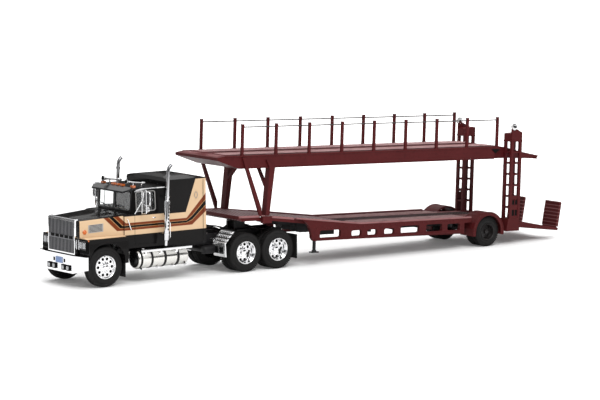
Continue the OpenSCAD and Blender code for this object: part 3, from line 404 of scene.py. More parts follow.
springs = Mould()
for x, half in ((0, 15), (DRIVE_AXLES[0], 11), (DRIVE_AXLES[1], 11)):
    leaf_stack(springs, x, 16.4, half, 2.6, 0.62, 1.5, 9.3, 11.3)
springs.both().cast("leaf_springs", frame_black, "tractor", "black_plastic")

# ---------------------------------------------------------------- wheels
# Soft tyres are pressed on plated plastic rims, and a steel pin joins each pair. The steer
# tyres have ribs, the drive tyres have blocks, and all have a smooth sidewall with one ring.
rubber = Finish("tyre_rubber", shine=0.15)
rubber.mottle((0.006, 0.006, 0.006), (0.017, 0.016, 0.016), 0.62, 0.2, 260, 5)
rubber.bump(rubber.noise(3800, 2), 0.02, 0.6)

plating = Finish("bright_plating", metallic=1.0)
plating.mottle((0.78, 0.78, 0.79), (0.86, 0.86, 0.87), 0.07, 0.07, 90, 3)
plating.bump(plating.noise(420, 2), 0.03, 0.25)

pin_steel = Finish("pin_steel", metallic=1.0)
pin_steel.mottle((0.42, 0.42, 0.43), (0.6, 0.6, 0.61), 0.3, 0.15, 1800, 2)
pin_steel.coat_nodes("front_axle_pin", "first_drive_pin", "second_drive_pin", "trailer_pin", "kingpin")

rim_black = Finish("rim_black", coat=0.1, shine=0.25)
rim_black.mottle((0.007, 0.006, 0.006), (0.018, 0.015, 0.015), 0.3, 0.15, 500)


# One shape is copied in a ring or a row by this tree, and every copy becomes plain faces.
copies = bpy.data.node_groups.new("copies", "GeometryNodeTree")
copies.interface.new_socket("Shape", in_out="INPUT", socket_type="NodeSocketGeometry")
copies.interface.new_socket("Copies", in_out="OUTPUT", socket_type="NodeSocketGeometry")
for socket_name, socket_kind in (("Count", "Int"), ("Centre", "Vector"), ("Step", "Vector"),
                                 ("Turn", "Vector"), ("Finish", "Material")):
    copies.interface.new_socket(socket_name, in_out="INPUT", socket_type="NodeSocket" + socket_kind)


def copies_node(kind, inputs, **settings):
    made = copies.nodes.new(kind)
    for key, value in settings.items():
        setattr(made, key, value)
    for key, value in inputs.items():
        copies.links.new(value, made.inputs[key])
    return made


given = copies_node("NodeGroupInput", {}).outputs
index = copies_node("GeometryNodeInputIndex", {}).outputs[0]
to_centre = copies_node("ShaderNodeVectorMath", {0: given["Centre"]}, operation="SCALE")
to_centre.inputs["Scale"].default_value = -1.0
shape = copies_node("GeometryNodeTransform", {"Geometry": given["Shape"],
                                              "Translation": to_centre.outputs[0]})
along = copies_node("ShaderNodeVectorMath", {0: given["Step"], "Scale": index}, operation="SCALE")
spot = copies_node("ShaderNodeVectorMath", {0: along.outputs[0], 1: given["Centre"]}, operation="ADD")
turned = copies_node("ShaderNodeVectorMath", {0: given["Turn"], "Scale": index}, operation="SCALE")
points = copies_node("GeometryNodePoints", {"Count": given["Count"], "Position": spot.outputs[0]})
placed = copies_node("GeometryNodeInstanceOnPoints", {
    "Points": points.outputs[0], "Instance": shape.outputs[0], "Rotation": turned.outputs[0]})
plain = copies_node("GeometryNodeRealizeInstances", {"Geometry": placed.outputs[0]})
painted = copies_node("GeometryNodeSetMaterial", {"Geometry": plain.outputs[0], "Material": given["Finish"]})
copies_node("NodeGroupOutput", {0: painted.outputs[0]})


def repeat(name, mould, finish, body, count, centre=(0, 0, 0), step=(0, 0, 0), turn=(0, 0, 0),
           replaces=(), smooth=35):
    """Casts a row or ring of copies. Centre is in metres, step in metres and turn in radians."""
    bmesh.ops.recalc_face_normals(mould.mesh, faces=mould.mesh.faces[:])
    data = bpy.data.meshes.new(name + "_shape")
    mould.mesh.to_mesh(data)
    mould.mesh.free()
    source = bpy.data.objects.new(name + "_shape", data)
    scene.collection.objects.link(source)
    modifier = source.modifiers.new("copies", "NODES")
    modifier.node_group = copies
    sockets = {item.name: item.identifier for item in copies.interface.items_tree if item.in_out == "INPUT"}
    for key, value in (("Count", count), ("Centre", centre), ("Step", step), ("Turn", turn),
                       ("Finish", finish.material)):
        modifier[sockets[key]] = value
    ready = source.evaluated_get(bpy.context.evaluated_depsgraph_get())
    result = bpy.data.meshes.new_from_object(ready)
    bpy.data.objects.remove(source)
    return finish_piece(name, result, finish, body, replaces, 0.0, smooth)


def tyre_profile(r, bore, w, ribs):
    """Half section of a tyre as (along the axle, radius), with grooves round its tread."""
    h = w / 2
    side = [(h - 0.75, bore), (h - 0.25, bore + 0.35), (h - 0.05, bore + 1.0), (h, bore + 0.52 * (r - bore)),
            (h - 0.22, bore + 0.56 * (r - bore)), (h - 0.02, bore + 0.62 * (r - bore)),
            (h - 0.18, r - 1.3), (h - 0.62, r - 0.42), (h - 1.0, r - 0.12)]
    tread = []
    span = 2 * (h - 1.0)
    for i in range(ribs - 1):
        y = -h + 1.0 + span * (i + 1) / ribs
        tread += [(y - 0.26, r - 0.02), (y - 0.16, r - 0.5), (y + 0.16, r - 0.5), (y + 0.26, r - 0.02)]
    return [(-a, b) for a, b in side] + tread + [(a, b) for a, b in reversed(side)]


def rim_face(mould, x, z, side, face, rows, holes, hole):
    """A wheel disc with oval hand holes. rows are (radius, depth behind the face)."""
    (r0, d0), (r1, d1) = rows
    middle, tall, wide, deep = hole
    half = math.pi / holes

    def spot(r, a, extra=0.0):
        depth = d0 + (d1 - d0) * (r - r0) / (r1 - r0) + extra
        return place(x + r * math.cos(a), side * (face - depth), z + r * math.sin(a))

    for k in range(holes):
        mid = 2 * half * k
        frame_points, oval, inner = [], [], []
        for i in range(16):
            t = 2 * math.pi * (i + 0.5) / 16
            c, s = math.cos(t), math.sin(t)
            grow = 1 / max(abs(c), abs(s))
            frame_points.append(spot((r0 + r1) / 2 + (r1 - r0) / 2 * c * grow, mid + half * s * grow))
            r, a = middle + tall * c, mid + wide * s / middle
            oval.append(spot(r, a))
            inner.append(spot(r, a, deep))
        rings = [[mould.mesh.verts.new(p) for p in ring] for ring in (frame_points, oval, inner)]
        for a, b in zip(rings, rings[1:]):
            for i in range(16):
                j = (i + 1) % 16
                mould.mesh.faces.new((a[i], a[j], b[j], b[i]))


def wheelset(body, x, r, bore, w, outer, gap, ribs, blocks, disc, finish, rim_slot):
    """Both ends of one axle. gap is the space between twin tyres, or None for single ones."""
    z, tyres = r, Mould()
    rows = [outer - w / 2] + ([] if gap is None else [outer - w * 1.5 - gap])
    for y in rows:
        for side in (-1, 1):
            tyres.turn(tyre_profile(r - (0.42 if blocks else 0.0), bore, w, ribs), (x, side * y, z), n=96)
    tyres.cast(body + "_tyres", rubber, body, "tyre", [body.replace("_wheelset", "_tyres")], smooth=30)
    if blocks:
        lug = Mould()
        for y in rows:
            for side in (-1, 1):
                for row, (a, b) in enumerate(((-w / 2 + 0.55, -0.32), (0.32, w / 2 - 0.55))):
                    lean = 0.25 if row else -0.25
                    lug.loft([[(x + q, side * (y + p), z + lean + t) for p, t in
                               ((a + s, -0.45 + s), (b - s, -0.45 + s), (b - s, 0.45 - s), (a + s, 0.45 - s))]
                              for q, s in ((r - 0.55, 0.0), (r - 0.04, 0.1))])
        repeat(body + "_tread", lug, rubber, body, blocks, place(x, 0, z),
               turn=(0, 2 * math.pi / blocks, 0))
    depth, holes, hole, hub, nuts, nut_ring = disc
    rim = Mould()
    span = w if gap is None else 2 * w + gap
    for side in (-1, 1):
        def row(*points):
            rim.turn([(side * (outer - d), rr) for d, rr in points], (x, 0, z), n=64)
        # Barrel and rolled lip
        row((span - 0.3, bore - 0.1), (0.6, bore - 0.1), (0.25, bore + 0.05), (0.05, bore - 0.05),
            (0.02, bore - 0.3), (0.2, bore - 0.55), (depth - 0.3, bore - 0.75), (depth, bore - 1.0))
        rim_face(rim, x, z, side, outer, ((hub + 1.3, depth - 0.25), (bore - 1.0, depth)), holes, hole)
        # Hub cap
        row((depth - 0.25, hub + 1.3), (depth - 0.4, hub + 0.9), (depth - 0.5, hub), (depth - 1.2, hub - 0.2),
            (depth - 1.9, hub - 0.35), (depth - 2.15, hub - 0.8), (depth - 2.2, 0.01))
    rim.cast(body + "_rims", finish, body, rim_slot, [body.replace("_wheelset", "_rims")], smooth=40)
    drum = Mould()
    for side in (-1, 1):
        plate = ((2.6, 0.6), (1.7, 0.7), (1.7, bore - 0.9), (2.6, bore - 0.9))
        drum.turn([(side * (outer - depth - d), rr) for d, rr in plate], (x, 0, z), n=40)
    drum.cast(body + "_drums", frame_black, body, "black_plastic")
    nut = Mould()
    for side in (-1, 1):
        nut.turn([(side * (outer - depth + d), 0.3 * k) for d, k in
                  ((0.2, 1.25), (0.42, 1.25), (0.42, 1.0), (1.0, 0.95), (1.05, 0.5), (1.05, 0.02))],
                 (x + nut_ring, 0, z), n=6)
    repeat(body + "_nuts", nut, finish, body, nuts, place(x, 0, z), turn=(0, 2 * math.pi / nuts, 0))


wheelset("front_wheelset", 0, 13, 7.6, 6.6, 25.8, None, 5, 0, (1.1, 10, (5.2, 1.0, 1.0, 0.9), 2.0, 10, 2.75),
         plating, "chrome")
for axle, axle_x in zip(("first_drive_wheelset", "second_drive_wheelset"), DRIVE_AXLES):
    wheelset(axle, axle_x, 13, 7.6, 6.0, 25.8, 0.8, 3, 58, (4.2, 10, (5.2, 1.0, 1.0, 0.9), 2.3, 10, 3.1),
             plating, "chrome")
wheelset("trailer_wheelset", 316.5, 10.3, 5.9, 5.8, 28.6, 0.8, 3, 48,
         (3.2, 8, (4.1, 0.5, 0.55, 0.8), 1.7, 8, 2.35), rim_black, "black_plastic")

# ---------------------------------------------------------------- bumper, grille and headlamps
# The bumper is one plated moulding with a blank plate and four driving lamps. The grille is
# a plated frame over a black insert with upright bars, and each headlamp sits in a bezel.
plating.coat_nodes("front_bumper", "grille_surround")
bezel = Finish("lamp_bezel", metallic=0.9)
rim = (bezel.y.size() - 21.2).size().over(4.1, 0.1).most((bezel.z - 26.9).size().over(3.3, 0.1))
bezel.set("Base Color", bezel.mix(rim, (0.012, 0.012, 0.012), (0.75, 0.75, 0.76)))
bezel.set("Roughness", 0.16 + bezel.noise(500) * 0.12)
bezel.coat_nodes("headlamps")
grille_black = Finish("grille_insert", metallic=0.2, shine=0.2)
bar_face = (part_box("grille_bars")[0].x - AXLE_X) / MM
slat = grille_black.x.under(bar_face + 0.3, 0.2)
wear = grille_black.noise(600)
grille_black.set("Base Color", grille_black.mix(slat, (0.003, 0.003, 0.003), (0.2, 0.2, 0.21)))
grille_black.set("Roughness", 0.3 + wear * 0.15)
grille_black.coat_nodes("grille_bars")
deep_black = Finish("deep_black", shine=0.1)
deep_black.mottle((0.002, 0.002, 0.002), (0.006, 0.006, 0.006), 0.7, 0.2, 300)

row = Mould()
for k in range(5):
    row.box((bar_face - 0.2, 5.3 * k - 12.6, 30.6), (bar_face + 0.4, 5.3 * k - 8.6, 32.4))
row.cast("grille_slots", deep_black, "tractor", "black_plastic")
Mould().box((-16.3, -15.2, 42.5), (-13.6, 15.2, 43.5)).cast(
    "grille_cap", plating, "tractor", "chrome", bevel=0.35)
lamp_glass = Finish("lamp_lens", coat=1.0)
flutes = lamp_glass.y.cycle(0.5).between(0.1, 0.35, 0.1) * lamp_glass.z.cycle(0.8).between(0.15, 0.65, 0.15)
lamp_glass.set("Base Color", lamp_glass.mix(flutes, (0.16, 0.165, 0.17), (0.62, 0.63, 0.65)))
lamp_glass.set("Metallic", 0.55 + flutes * 0.3)
lamp_glass.set("Roughness", 0.12 + flutes * 0.1)
lamp_glass.bump(flutes, 0.08, 0.6)
lenses = Mould()
for y in (17.3, 21.1):
    lenses.end_on(rounded(y, 25.3, y + 3.2, 29.3, 0.4), -14.55, -13.7)
lenses.both().cast("headlamp_lenses", lamp_glass, "tractor", "chrome", bevel=0.25)
shells = Mould().end_on(rounded(16.0, 22.2, 26.2, 31.2, 0.8), -13.6, -12.9)
shells.end_on(rounded(16.9, 24.7, 24.7, 29.9, 0.3), -13.95, -13.65)
shells.both().cast("headlamp_shells", deep_black, "tractor", "charcoal_paint")

spots = Mould()
for y in (3.2, 8.8):
    spots.end_on(rounded(y, 10.6, y + 4.2, 14.2, 0.4), -19.15, -18.1)
spots.both().cast("driving_lamp_cases", deep_black, "tractor", "black_plastic", bevel=0.3)
spots = Mould()
for y in (3.2, 8.8):
    spots.end_on(rounded(y + 0.75, 11.3, y + 3.45, 13.5, 0.3), -19.35, -19.0)
spots.both().cast("driving_lamps", lamp_glass, "tractor", "chrome", bevel=0.1)
plate_blue = Finish("blank_plate", coat=0.5)
rim = plate_blue.y.size().over(3.5).most((plate_blue.z - 16.6).size().over(1.75))
plate_blue.set("Base Color", plate_blue.mix(rim, (0.1, 0.19, 0.42), (0.3, 0.36, 0.5)))
plate_blue.set("Roughness", 0.35 + plate_blue.noise(700) * 0.1)
Mould().end_on(rounded(-3.9, 14.6, 3.9, 18.6, 0.3), -18.6, -18.15).cast(
    "blank_plate", plate_blue, "tractor", "chrome")
Mould().box((-17.4, 4.6, 15.0), (-16.6, 7.4, 18.2)).both().cast(
    "tow_openings", deep_black, "tractor", "black_plastic")

# ---------------------------------------------------------------- painted bodywork
# Bonnet, wings, cab and sleeper are die-cast and sprayed gloss black. The cream panels and
# the rust and black band are printed on, and everything lies under one clear lacquer.
CREAM, RUST, GLOSS = (0.645, 0.456, 0.284), (0.165, 0.036, 0.012), (0.003, 0.003, 0.003)


def bodywork(name, panel):
    """Paint with the printed band. panel says where the cream is, from the finish's places."""
    paint = Finish(name, coat=0.1, coat_roughness=0.05, ior=1.35, shine=0.1)
    x, z = paint.x, paint.z
    low = (0.73 * (x - 68.0) + 34.1).most(34.5)
    high = (0.99 * (x - 64.3) + 39.3).most(39.2)
    across = ((z - low) / (high - low)).least((x * 0.69 + z * 0.724 - 33.1) / 7.6)
    band = across.between(0, 1, 0.04)
    core = across.between(0.36, 0.64, 0.05)
    tone = paint.noise(60, 3)
    cream = paint.mix(tone, CREAM, tuple(0.93 * c for c in CREAM))
    colour = paint.mix(band, cream, RUST)
    colour = paint.mix(core * band, colour, GLOSS)
    hair = across.between(0.325, 0.36, 0.02).most(across.between(0.64, 0.675, 0.02))
    colour = paint.mix(hair, colour, (0.5, 0.3, 0.13))
    colour = paint.mix(panel(paint), paint.mix(tone, GLOSS, (0.009, 0.008, 0.008)), colour)
    paint.set("Base Color", colour)
    paint.set("Roughness", 0.16 + tone * 0.1)
    paint.bump(paint.noise(700, 2), 0.012, 0.35)
    return paint


bonnet_paint = bodywork("bonnet_paint", lambda p: p.z.over(31.3) * (42.3 + 0.052 * (p.x + 14) - p.z).over(0.0)
                        * (p.x).over(-14.1))
wing_paint = bodywork("wing_paint", lambda p: p.z.over(31.15))
cab_paint = bodywork("cab_paint", lambda p: p.z.between(31.4, 43.4))
sleeper_paint = bodywork("sleeper_paint", lambda p: (
    p.z.between(31.4, 43.0).most((p.x - 63.6 - (p.z - 43.0) * 0.379).over(0.0) * p.z.between(42.9, 64.0))))

# Bonnet: a crowned shell with a raised middle and rounded shoulders
shell = Mould()
rings = []
for i in range(17):
    t = i / 16
    x = -14.2 + 30.5 * t
    half = 17.6 + 4.2 * t
    top = 42.6 + 1.6 * t
    left = [(-half, 31.8), (-half, top - 1.1), (-half + 0.35, top - 0.4), (-half + 1.1, top - 0.05),
            (-half + 4, top + 0.12), (-7.6, top + 0.16), (-6.6, top + 0.5), (-1.0, top + 0.56)]
    right = [(-y, z) for y, z in reversed(left)]
    rings.append([(x, y, z) for y, z in left + [(0, top + 0.62)] + right])
shell.loft(rings).cast("bonnet_shell", bonnet_paint, "tractor", "black_paint", ["bonnet"], smooth=30)

# Wings: the printed skin over the arch, with a rolled lip
WHEEL_R = 13
arch = [(28, 2.2), (50, 2.9), (70, 2.8), (90, 2.7), (112, 2.7), (130, 2.8), (155, 2.1)]
inner = [((WHEEL_R + g) * math.cos(math.radians(a)), WHEEL_R + (WHEEL_R + g) * math.sin(math.radians(a)))
         for a, g in arch]
wing_paint.coat_nodes("front_wings")
lip = Mould().tube([(x, 27.3, z) for x, z in inner], 0.42, 8)
lip.both().cast("arch_lips", wing_paint, "tractor", "charcoal_paint")
grey_trim = Finish("grey_trim", metallic=0.6, coat=0.3)
grey_trim.mottle((0.3, 0.29, 0.28), (0.4, 0.39, 0.38), 0.3, 0.2, 500)


def skin(x, gap):
    """Distance of the bonnet's side from the middle, plus a gap."""
    return 17.6 + 4.2 * (x + 14.2) / 30.6 + gap


vents = Mould()
vents.loft([[(-8.2, skin(-8.2, g), 34.3), (2.2, skin(2.2, g), 34.9), (2.2, skin(2.2, g), 40.1),
             (-8.2, skin(-8.2, g), 39.5)] for g in (-0.3, 0.16)])
vents.both().cast("vent_frames", grey_trim, "tractor", "chrome", bevel=0.1)
slots = Mould()
for k in range(6):
    up = 0.78 * k
    slots.loft([[(-7.5, skin(-7.5, g), 35.05 + up), (1.5, skin(1.5, g), 35.5 + up),
                 (1.5, skin(1.5, g), 35.8 + up), (-7.5, skin(-7.5, g), 35.35 + up)] for g in (0, 0.2)])
slots.both().cast("vent_slots", deep_black, "tractor", "black_plastic")

amber = Finish("amber_lens", coat=0.5)
amber.mottle((0.5, 0.1, 0.015), (0.66, 0.16, 0.025), 0.15, 0.1, 400)
amber.coat_nodes("roof_lamps")
marker = Mould()
marker.turn([(0, 1.5), (0.35, 1.45), (0.7, 1.0), (0.85, 0.02)], (-10.7, skin(-10.7, -0.05), 35.2), n=24)
marker.turn([(0, 0.55), (0.3, 0.5), (0.4, 0.02)], (-13, 25.9, 30.6), n=16)
marker.both().cast("side_markers", amber, "tractor", "amber")

# ---------------------------------------------------------------- cab
# The cab is one casting with its roof, pillars and doors, glazed from inside with clear
# panes. Door gaps are engraved and inked, and the rain gutter, handles and gaskets plated.
cab_paint.coat_nodes("cab_shell")
sleeper_paint.coat_nodes("sleeper_box")
glazing = Finish("glazing", ior=1.45, transmission=1.0)
glazing.mottle((0.93, 0.95, 0.95), (0.97, 0.98, 0.98), 0.02, 0.02, 40)
glazing.coat_nodes("windows")
lining = Finish("cab_lining")
lining.mottle((0.02, 0.017, 0.015), (0.05, 0.04, 0.035), 0.6, 0.25, 500, 4)
lining.coat_nodes("seats", "dashboard", "steering_wheel")

visor_black = Finish("visor_black", coat=0.05, shine=0.15)
visor_black.mottle((0.003, 0.003, 0.004), (0.009, 0.009, 0.009), 0.12, 0.1, 80)
visor_black.coat_nodes("sun_visor")

gasket = Finish("window_gasket", metallic=0.3, coat=0.6)
gasket.mottle((0.05, 0.05, 0.05), (0.16, 0.16, 0.16), 0.25, 0.15, 300)
frames = Mould()
edge = rounded(0.7, 46.5, 17.9, 58.2, 1.6)
frames.tube([(23.45 + 0.8 * (z - 45.4) / 14.2, y, z) for y, z in edge], 0.34, 8, closed=True)
frames.both().cast("windscreen_gaskets", gasket, "tractor", "black_plastic")
frames = Mould()
edge = rounded(25.9, 46.0, 40.6, 58.4, 1.4)
frames.tube([(x, 22.42 - (z - 44) / 15.2, z) for x, z in edge], 0.3, 8, closed=True)
frames.tube([(30.8, 22.3, 46.2), (31.3, 21.5, 58.3)], 0.28, 8)
frames.both().cast("door_window_frames", grey_trim, "tractor", "chrome")

seams = Mould()
for path in ([(24.6, 45.4), (24.6, 25.2), (41.4, 25.2), (41.4, 58.8)], [(48.7, 60.0), (48.7, 23.2)]):
    seams.tube([(x, 22.38 - max(0, (z - 44) / 15.2), z) for x, z in path], 0.16, 6)
seams.tube([(77.2, 23.4, 24), (77.2, 23.4, 63.4)], 0.13, 6)
seams.tube([(16.45, 22.3, 43.8), (16.45, 22.3, 24)], 0.2, 6)
seams.both().cast("door_seams", deep_black, "tractor", "black_plastic")

trims = Mould()
trims.tube([(25.6, 21.9, 59.4), (30, 21.75, 60.1), (48.4, 21.75, 60.2)], 0.34, 8)
trims.box((38.0, 22.1, 41.0), (40.6, 22.9, 41.7))
trims.tube([(18.6, 22.6, 41.8), (18.9, 23.2, 41.2), (21.2, 23.3, 34.8), (21.4, 22.6, 34.4)], 0.28, 8)
trims.tube([(50.5, 23.6, 27.2), (50.5, 24.4, 28), (50.5, 24.4, 37), (50.5, 23.6, 37.8)], 0.28, 8)
trims.both().cast("gutters_and_handles", plating, "tractor", "chrome", bevel=0.0)

wipers = Mould()
for y in (-13, 4):
    wipers.tube([(19.2, y, 44.6), (21.4, y + 1.0, 45.6), (23.0, y + 8.0, 48.6)], 0.22, 6)
    wipers.tube([(22.95, y + 4.2, 48.0), (23.15, y + 10.6, 48.9)], 0.26, 6)
    wipers.turn([(44.2, 0.7), (44.9, 0.7), (45.1, 0.4), (45.2, 0.02)], (19.2, y, 0), "Z", 16)
wipers.cast("wipers", visor_black, "tractor", "black_plastic")
cowl = Mould()
for k in range(9):
    cowl.box((18.2, -16.4 + 3.6 * k, 44.15), (21.8, -13.9 + 3.6 * k, 44.5))
cowl.cast("cowl_grilles", grey_trim, "tractor", "black_plastic", bevel=0.1)

# Air horns: plated trumpets on two feet each
horns = Mould()
for y in (-13.4, 13.4):
    slope = [(0.0, 1.75), (0.25, 1.8), (0.5, 1.55), (1.6, 1.05), (3.4, 0.75), (6, 0.6), (12.2, 0.5),
             (12.5, 0.95), (14.2, 0.95), (14.6, 0.7), (14.7, 0.02)]
    start = Vector((24.0, y, 64.3))
    way = Vector((14, 0, -1.75)).normalized()
    path = [start + way * a for a, _ in slope]
    horns.tube(path, [r for _, r in slope], 20)
    for x in (29.4, 36.0):
        horns.tube([(x, y, 60.8), (x, y, 63.3)], 0.42, 8)
horns.cast("air_horn_trumpets", plating, "tractor", "chrome", ["air_horns"], smooth=50)
mouth = Mould()
for y in (-13.4, 13.4):
    mouth.turn([(23.93, 1.2), (23.9, 0.02)], (0, y, 64.3), "X", 20)
mouth.cast("horn_mouths", deep_black, "tractor", "black_plastic")

# Mirrors: a framed plate on a tubular bracket, with a round wide-angle glass below
mirror_glass = Finish("mirror_glass", metallic=1.0)
mirror_glass.mottle((0.62, 0.64, 0.66), (0.72, 0.74, 0.75), 0.03, 0.05, 30)
mirror_back = Finish("mirror_back", metallic=0.7)
# The mirror backs are painted dark with crossed light streaks, which are painted highlights of the plated
# back.
highlight_hatch = sum((slant.cycle(1.3).over(0.65, 0.3) * 0.5 for slant in
             (mirror_back.y + mirror_back.z, mirror_back.y - mirror_back.z)), 0.0)
mirror_back.set("Base Color", mirror_back.mix(highlight_hatch, (0.03, 0.03, 0.032), (0.22, 0.22, 0.23)))
mirror_back.set("Roughness", 0.2 + mirror_back.noise(400) * 0.1)
arms = Mould()
plate = rounded(26.0, 50.4, 32.8, 59.0, 0.9)
backs = Mould().end_on(plate, 29.15, 29.85)
backs.both().cast("mirror_backs", mirror_back, "tractor", "chrome")
arms.tube([(29.2, y, z) for y, z in plate], 0.38, 8, closed=True)
arms.turn([(29.1, 1.9), (29.9, 1.9), (30.1, 1.5), (30.15, 0.02)], (0, 29.4, 47.8), "X", 28)
arms.turn([(28.95, 0.02), (29.0, 1.2), (29.1, 1.9)], (0, 29.4, 47.8), "X", 28)
arms.tube([(28.6, 29.4, 59.7), (28.6, 29.4, 45.3)], 0.36, 8)
arms.tube([(28.6, 24.6, 60.2), (28.6, 24.6, 44.5)], 0.34, 8)
arms.tube([(25.0, 21.4, 58.9), (28.6, 24.6, 59.9), (28.6, 29.4, 59.9)], 0.36, 8)
arms.tube([(24.6, 22.4, 44.6), (28.6, 24.6, 52.5), (28.6, 27.0, 58.6)], 0.3, 8)
arms.tube([(28.6, 22.0, 44.6), (28.6, 29.4, 45.2)], 0.34, 8)
arms.both().cast("mirror_arms", plating, "tractor", "chrome", ["mirrors"], smooth=40)
glass = Mould().end_on(rounded(26.5, 50.9, 32.3, 58.5, 0.7), 29.8, 29.95)
glass.both().cast("mirror_faces", mirror_glass, "tractor", "chrome")

# Sleeper: an oval outline is printed near its rear edge, and a vent sits in its side
oval = Mould()
oval.tube([(71.6 + 1.15 * math.cos(t), 23.42, 53.6 + 2.0 * math.sin(t))
           for t in (2 * math.pi * k / 24 for k in range(24))], 0.16, 6, closed=True)
oval.both().cast("sleeper_ovals", grey_trim, "tractor", "black_plastic")

# ---------------------------------------------------------------- tanks, steps and exhausts
# Each tank is a drawn aluminium drum with domed ends, held by dark straps to the frame. A
# plated step rail runs over it. The stacks are plated plastic with a slotted heat shield.
tank_metal = Finish("tank_aluminium", metallic=1.0)
tank_metal.mottle((0.66, 0.65, 0.62), (0.8, 0.79, 0.76), 0.14, 0.1, 1600, 2)
drums = Mould()
drums.turn([(25.2, 0.02), (25.0, 3.5), (25.15, 5.0), (25.5, 5.8), (26.0, 6.08), (63.0, 6.08), (63.5, 5.8),
            (63.85, 5.0), (64.0, 3.5), (63.8, 0.02)], (0, 20.1, 15.2), "X", 48)
drums.both().cast("tank_drums", tank_metal, "tractor", "polished_metal", ["fuel_tanks"], smooth=40)
ends = Mould().turn([(24.85, 0.02), (24.8, 4.4), (25.0, 5.3), (25.2, 5.4)], (0, 20.1, 15.2), "X", 40)
ends.both().cast("tank_ends", visor_black, "tractor", "black_plastic", smooth=40)
straps = Mould()
for x in (26.8, 34.8, 45.0, 55.0):
    straps.turn([(x, 6.05), (x, 6.35), (x + 1.5, 6.35), (x + 1.5, 6.05)], (0, 20.1, 15.2), "X", 48)
straps.both().cast("tank_straps", frame_black, "tractor", "black_plastic", smooth=40)
caps = Mould().turn([(20.2, 1.3), (21.9, 1.3), (22.1, 1.1), (22.1, 0.02)], (30.6, 22.2, 0), "Z", 20)
caps.both().cast("tank_caps", plating, "tractor", "chrome")
plating.coat_nodes("tank_steps")
cleat = Mould().box((28.0, 21.6, 21.28), (28.5, 26.2, 21.55)).both()
repeat("step_cleats", cleat, plating, "tractor", 26, step=(1.42 * MM, 0, 0))
rail = Mould()
rail.tube([(26.6, 26.2, 21.0), (66.0, 26.2, 21.0)], 0.55, 10)
for x in (29, 41, 53, 63):
    rail.box((x - 0.6, 22.0, 8.7), (x + 0.6, 24.6, 9.7))
rail.both().cast("step_rails", plating, "tractor", "chrome")


def stack(z, back=0.0):
    return (46.2 - (70.5 - z) * 0.045 + back, 28.6, z)


pipes = Mould()
pipes.tube([stack(z) for z in (23.4, 26, 27)], [1.0, 1.15, 1.15], 16)
pipes.tube([stack(z) for z in (26.6, 26.9, 27.6, 52.0, 52.4, 52.8)], [1.2, 1.7, 1.85, 1.85, 1.7, 1.2], 24)
pipes.tube([stack(z) for z in (52.6, 70.5)], 1.12, 20)
pipes.tube([stack(z) for z in (67.7, 67.75, 68.75, 68.8)], [1.12, 1.5, 1.5, 1.12], 20)
bend = [Vector(stack(70.4))] + [Vector((46.2 + 5 - 5 * math.cos(a), 28.6, 70.5 + 5 * math.sin(a)))
                                for a in (math.radians(6 + 8 * k) for k in range(8))]
pipes.tube(bend, 1.15, 20)
for z in (30.0, 54.0):
    pipes.turn([(z, 1.9 if z < 40 else 1.2), (z + 0.05, 2.1 if z < 40 else 1.5),
                (z + 1.15, 2.1 if z < 40 else 1.5), (z + 1.2, 1.9 if z < 40 else 1.2)],
               (stack(z)[0], 28.6, 0), "Z", 20)
    pipes.box((stack(z)[0] - 0.6, 21.9, z), (stack(z)[0] + 0.6, 27.6, z + 1.2))
stack_plating = Finish("stack_plating", metallic=1.0)
heat = stack_plating.noise(120, 3)
# The stacks' plating is painted darker towards the top.
top_darkening = stack_plating.z.over(62, 18) * 0.8
stack_plating.set("Base Color", stack_plating.mix(top_darkening, (0.6, 0.6, 0.61), (0.07, 0.07, 0.075)))
stack_plating.set("Roughness", 0.06 + heat * 0.08)
pipes.both().cast("exhaust_pipes", stack_plating, "tractor", "chrome", ["exhaust_stacks"], smooth=45)
bores = Mould()
tip = Vector((46.2 + 5 - 5 * math.cos(math.radians(62)), 28.6, 70.5 + 5 * math.sin(math.radians(62))))
out = Vector((math.sin(math.radians(62)), 0, math.cos(math.radians(62))))
bores.tube([tip + out * 0.02, tip + out * 0.06], 0.92, 16)
bores.both().cast("exhaust_bores", deep_black, "tractor", "black_plastic")
slots = Mould()
for y_side in (-1, 1):
    slots.box((44.35, y_side * 30.3 - 0.2, 33.4), (45.15, y_side * 30.3 + 0.2, 34.6))
repeat("shield_slots", slots, deep_black, "tractor", 8, step=(0.10 * MM, 0, 2.2 * MM))

# Quarter fenders: three rows of tread above a break, and two square windows below
fender_metal = Finish("fender_metal", metallic=0.9)
gap = (fender_metal.y.size() - 14.0).cycle(1.9).over(1.3, 0.2)
gap = gap.most((fender_metal.z - 21.6).cycle(2.3).over(1.3, 0.3))
windows = fender_metal.y.size().between(14.5, 18.1).most(fender_metal.y.size().between(20.0, 23.6))
gap = gap * fender_metal.z.over(21.0, 0.3) + windows * fender_metal.z.between(13.2, 17.6)
fender_metal.set("Base Color", fender_metal.mix(gap, (0.7, 0.7, 0.71), (0.03, 0.03, 0.03)))
fender_metal.set("Roughness", 0.18 + fender_metal.noise(500) * 0.15)
fender_metal.coat_nodes("quarter_fenders")
treads = Mould()
for row in range(3):
    for col in range(6):
        a = Vector((93.4 + 0.9 + 2.0 * row, 14.0 + 1.9 * col, 21.6 + 2.3 * row))
        treads.box(tuple(a + Vector((-0.95, 0, -0.15))), tuple(a + Vector((-0.2, 1.2, 0.9))))
treads.both().cast("fender_treads", plating, "tractor", "chrome", bevel=0.08)
panes = Mould()
for y in (14.2, 19.8):
    panes.box((92.35, y, 13.2), (92.95, y + 4.2, 17.6))
panes.both().cast("fender_windows", visor_black, "tractor", "black_plastic", bevel=0.1)

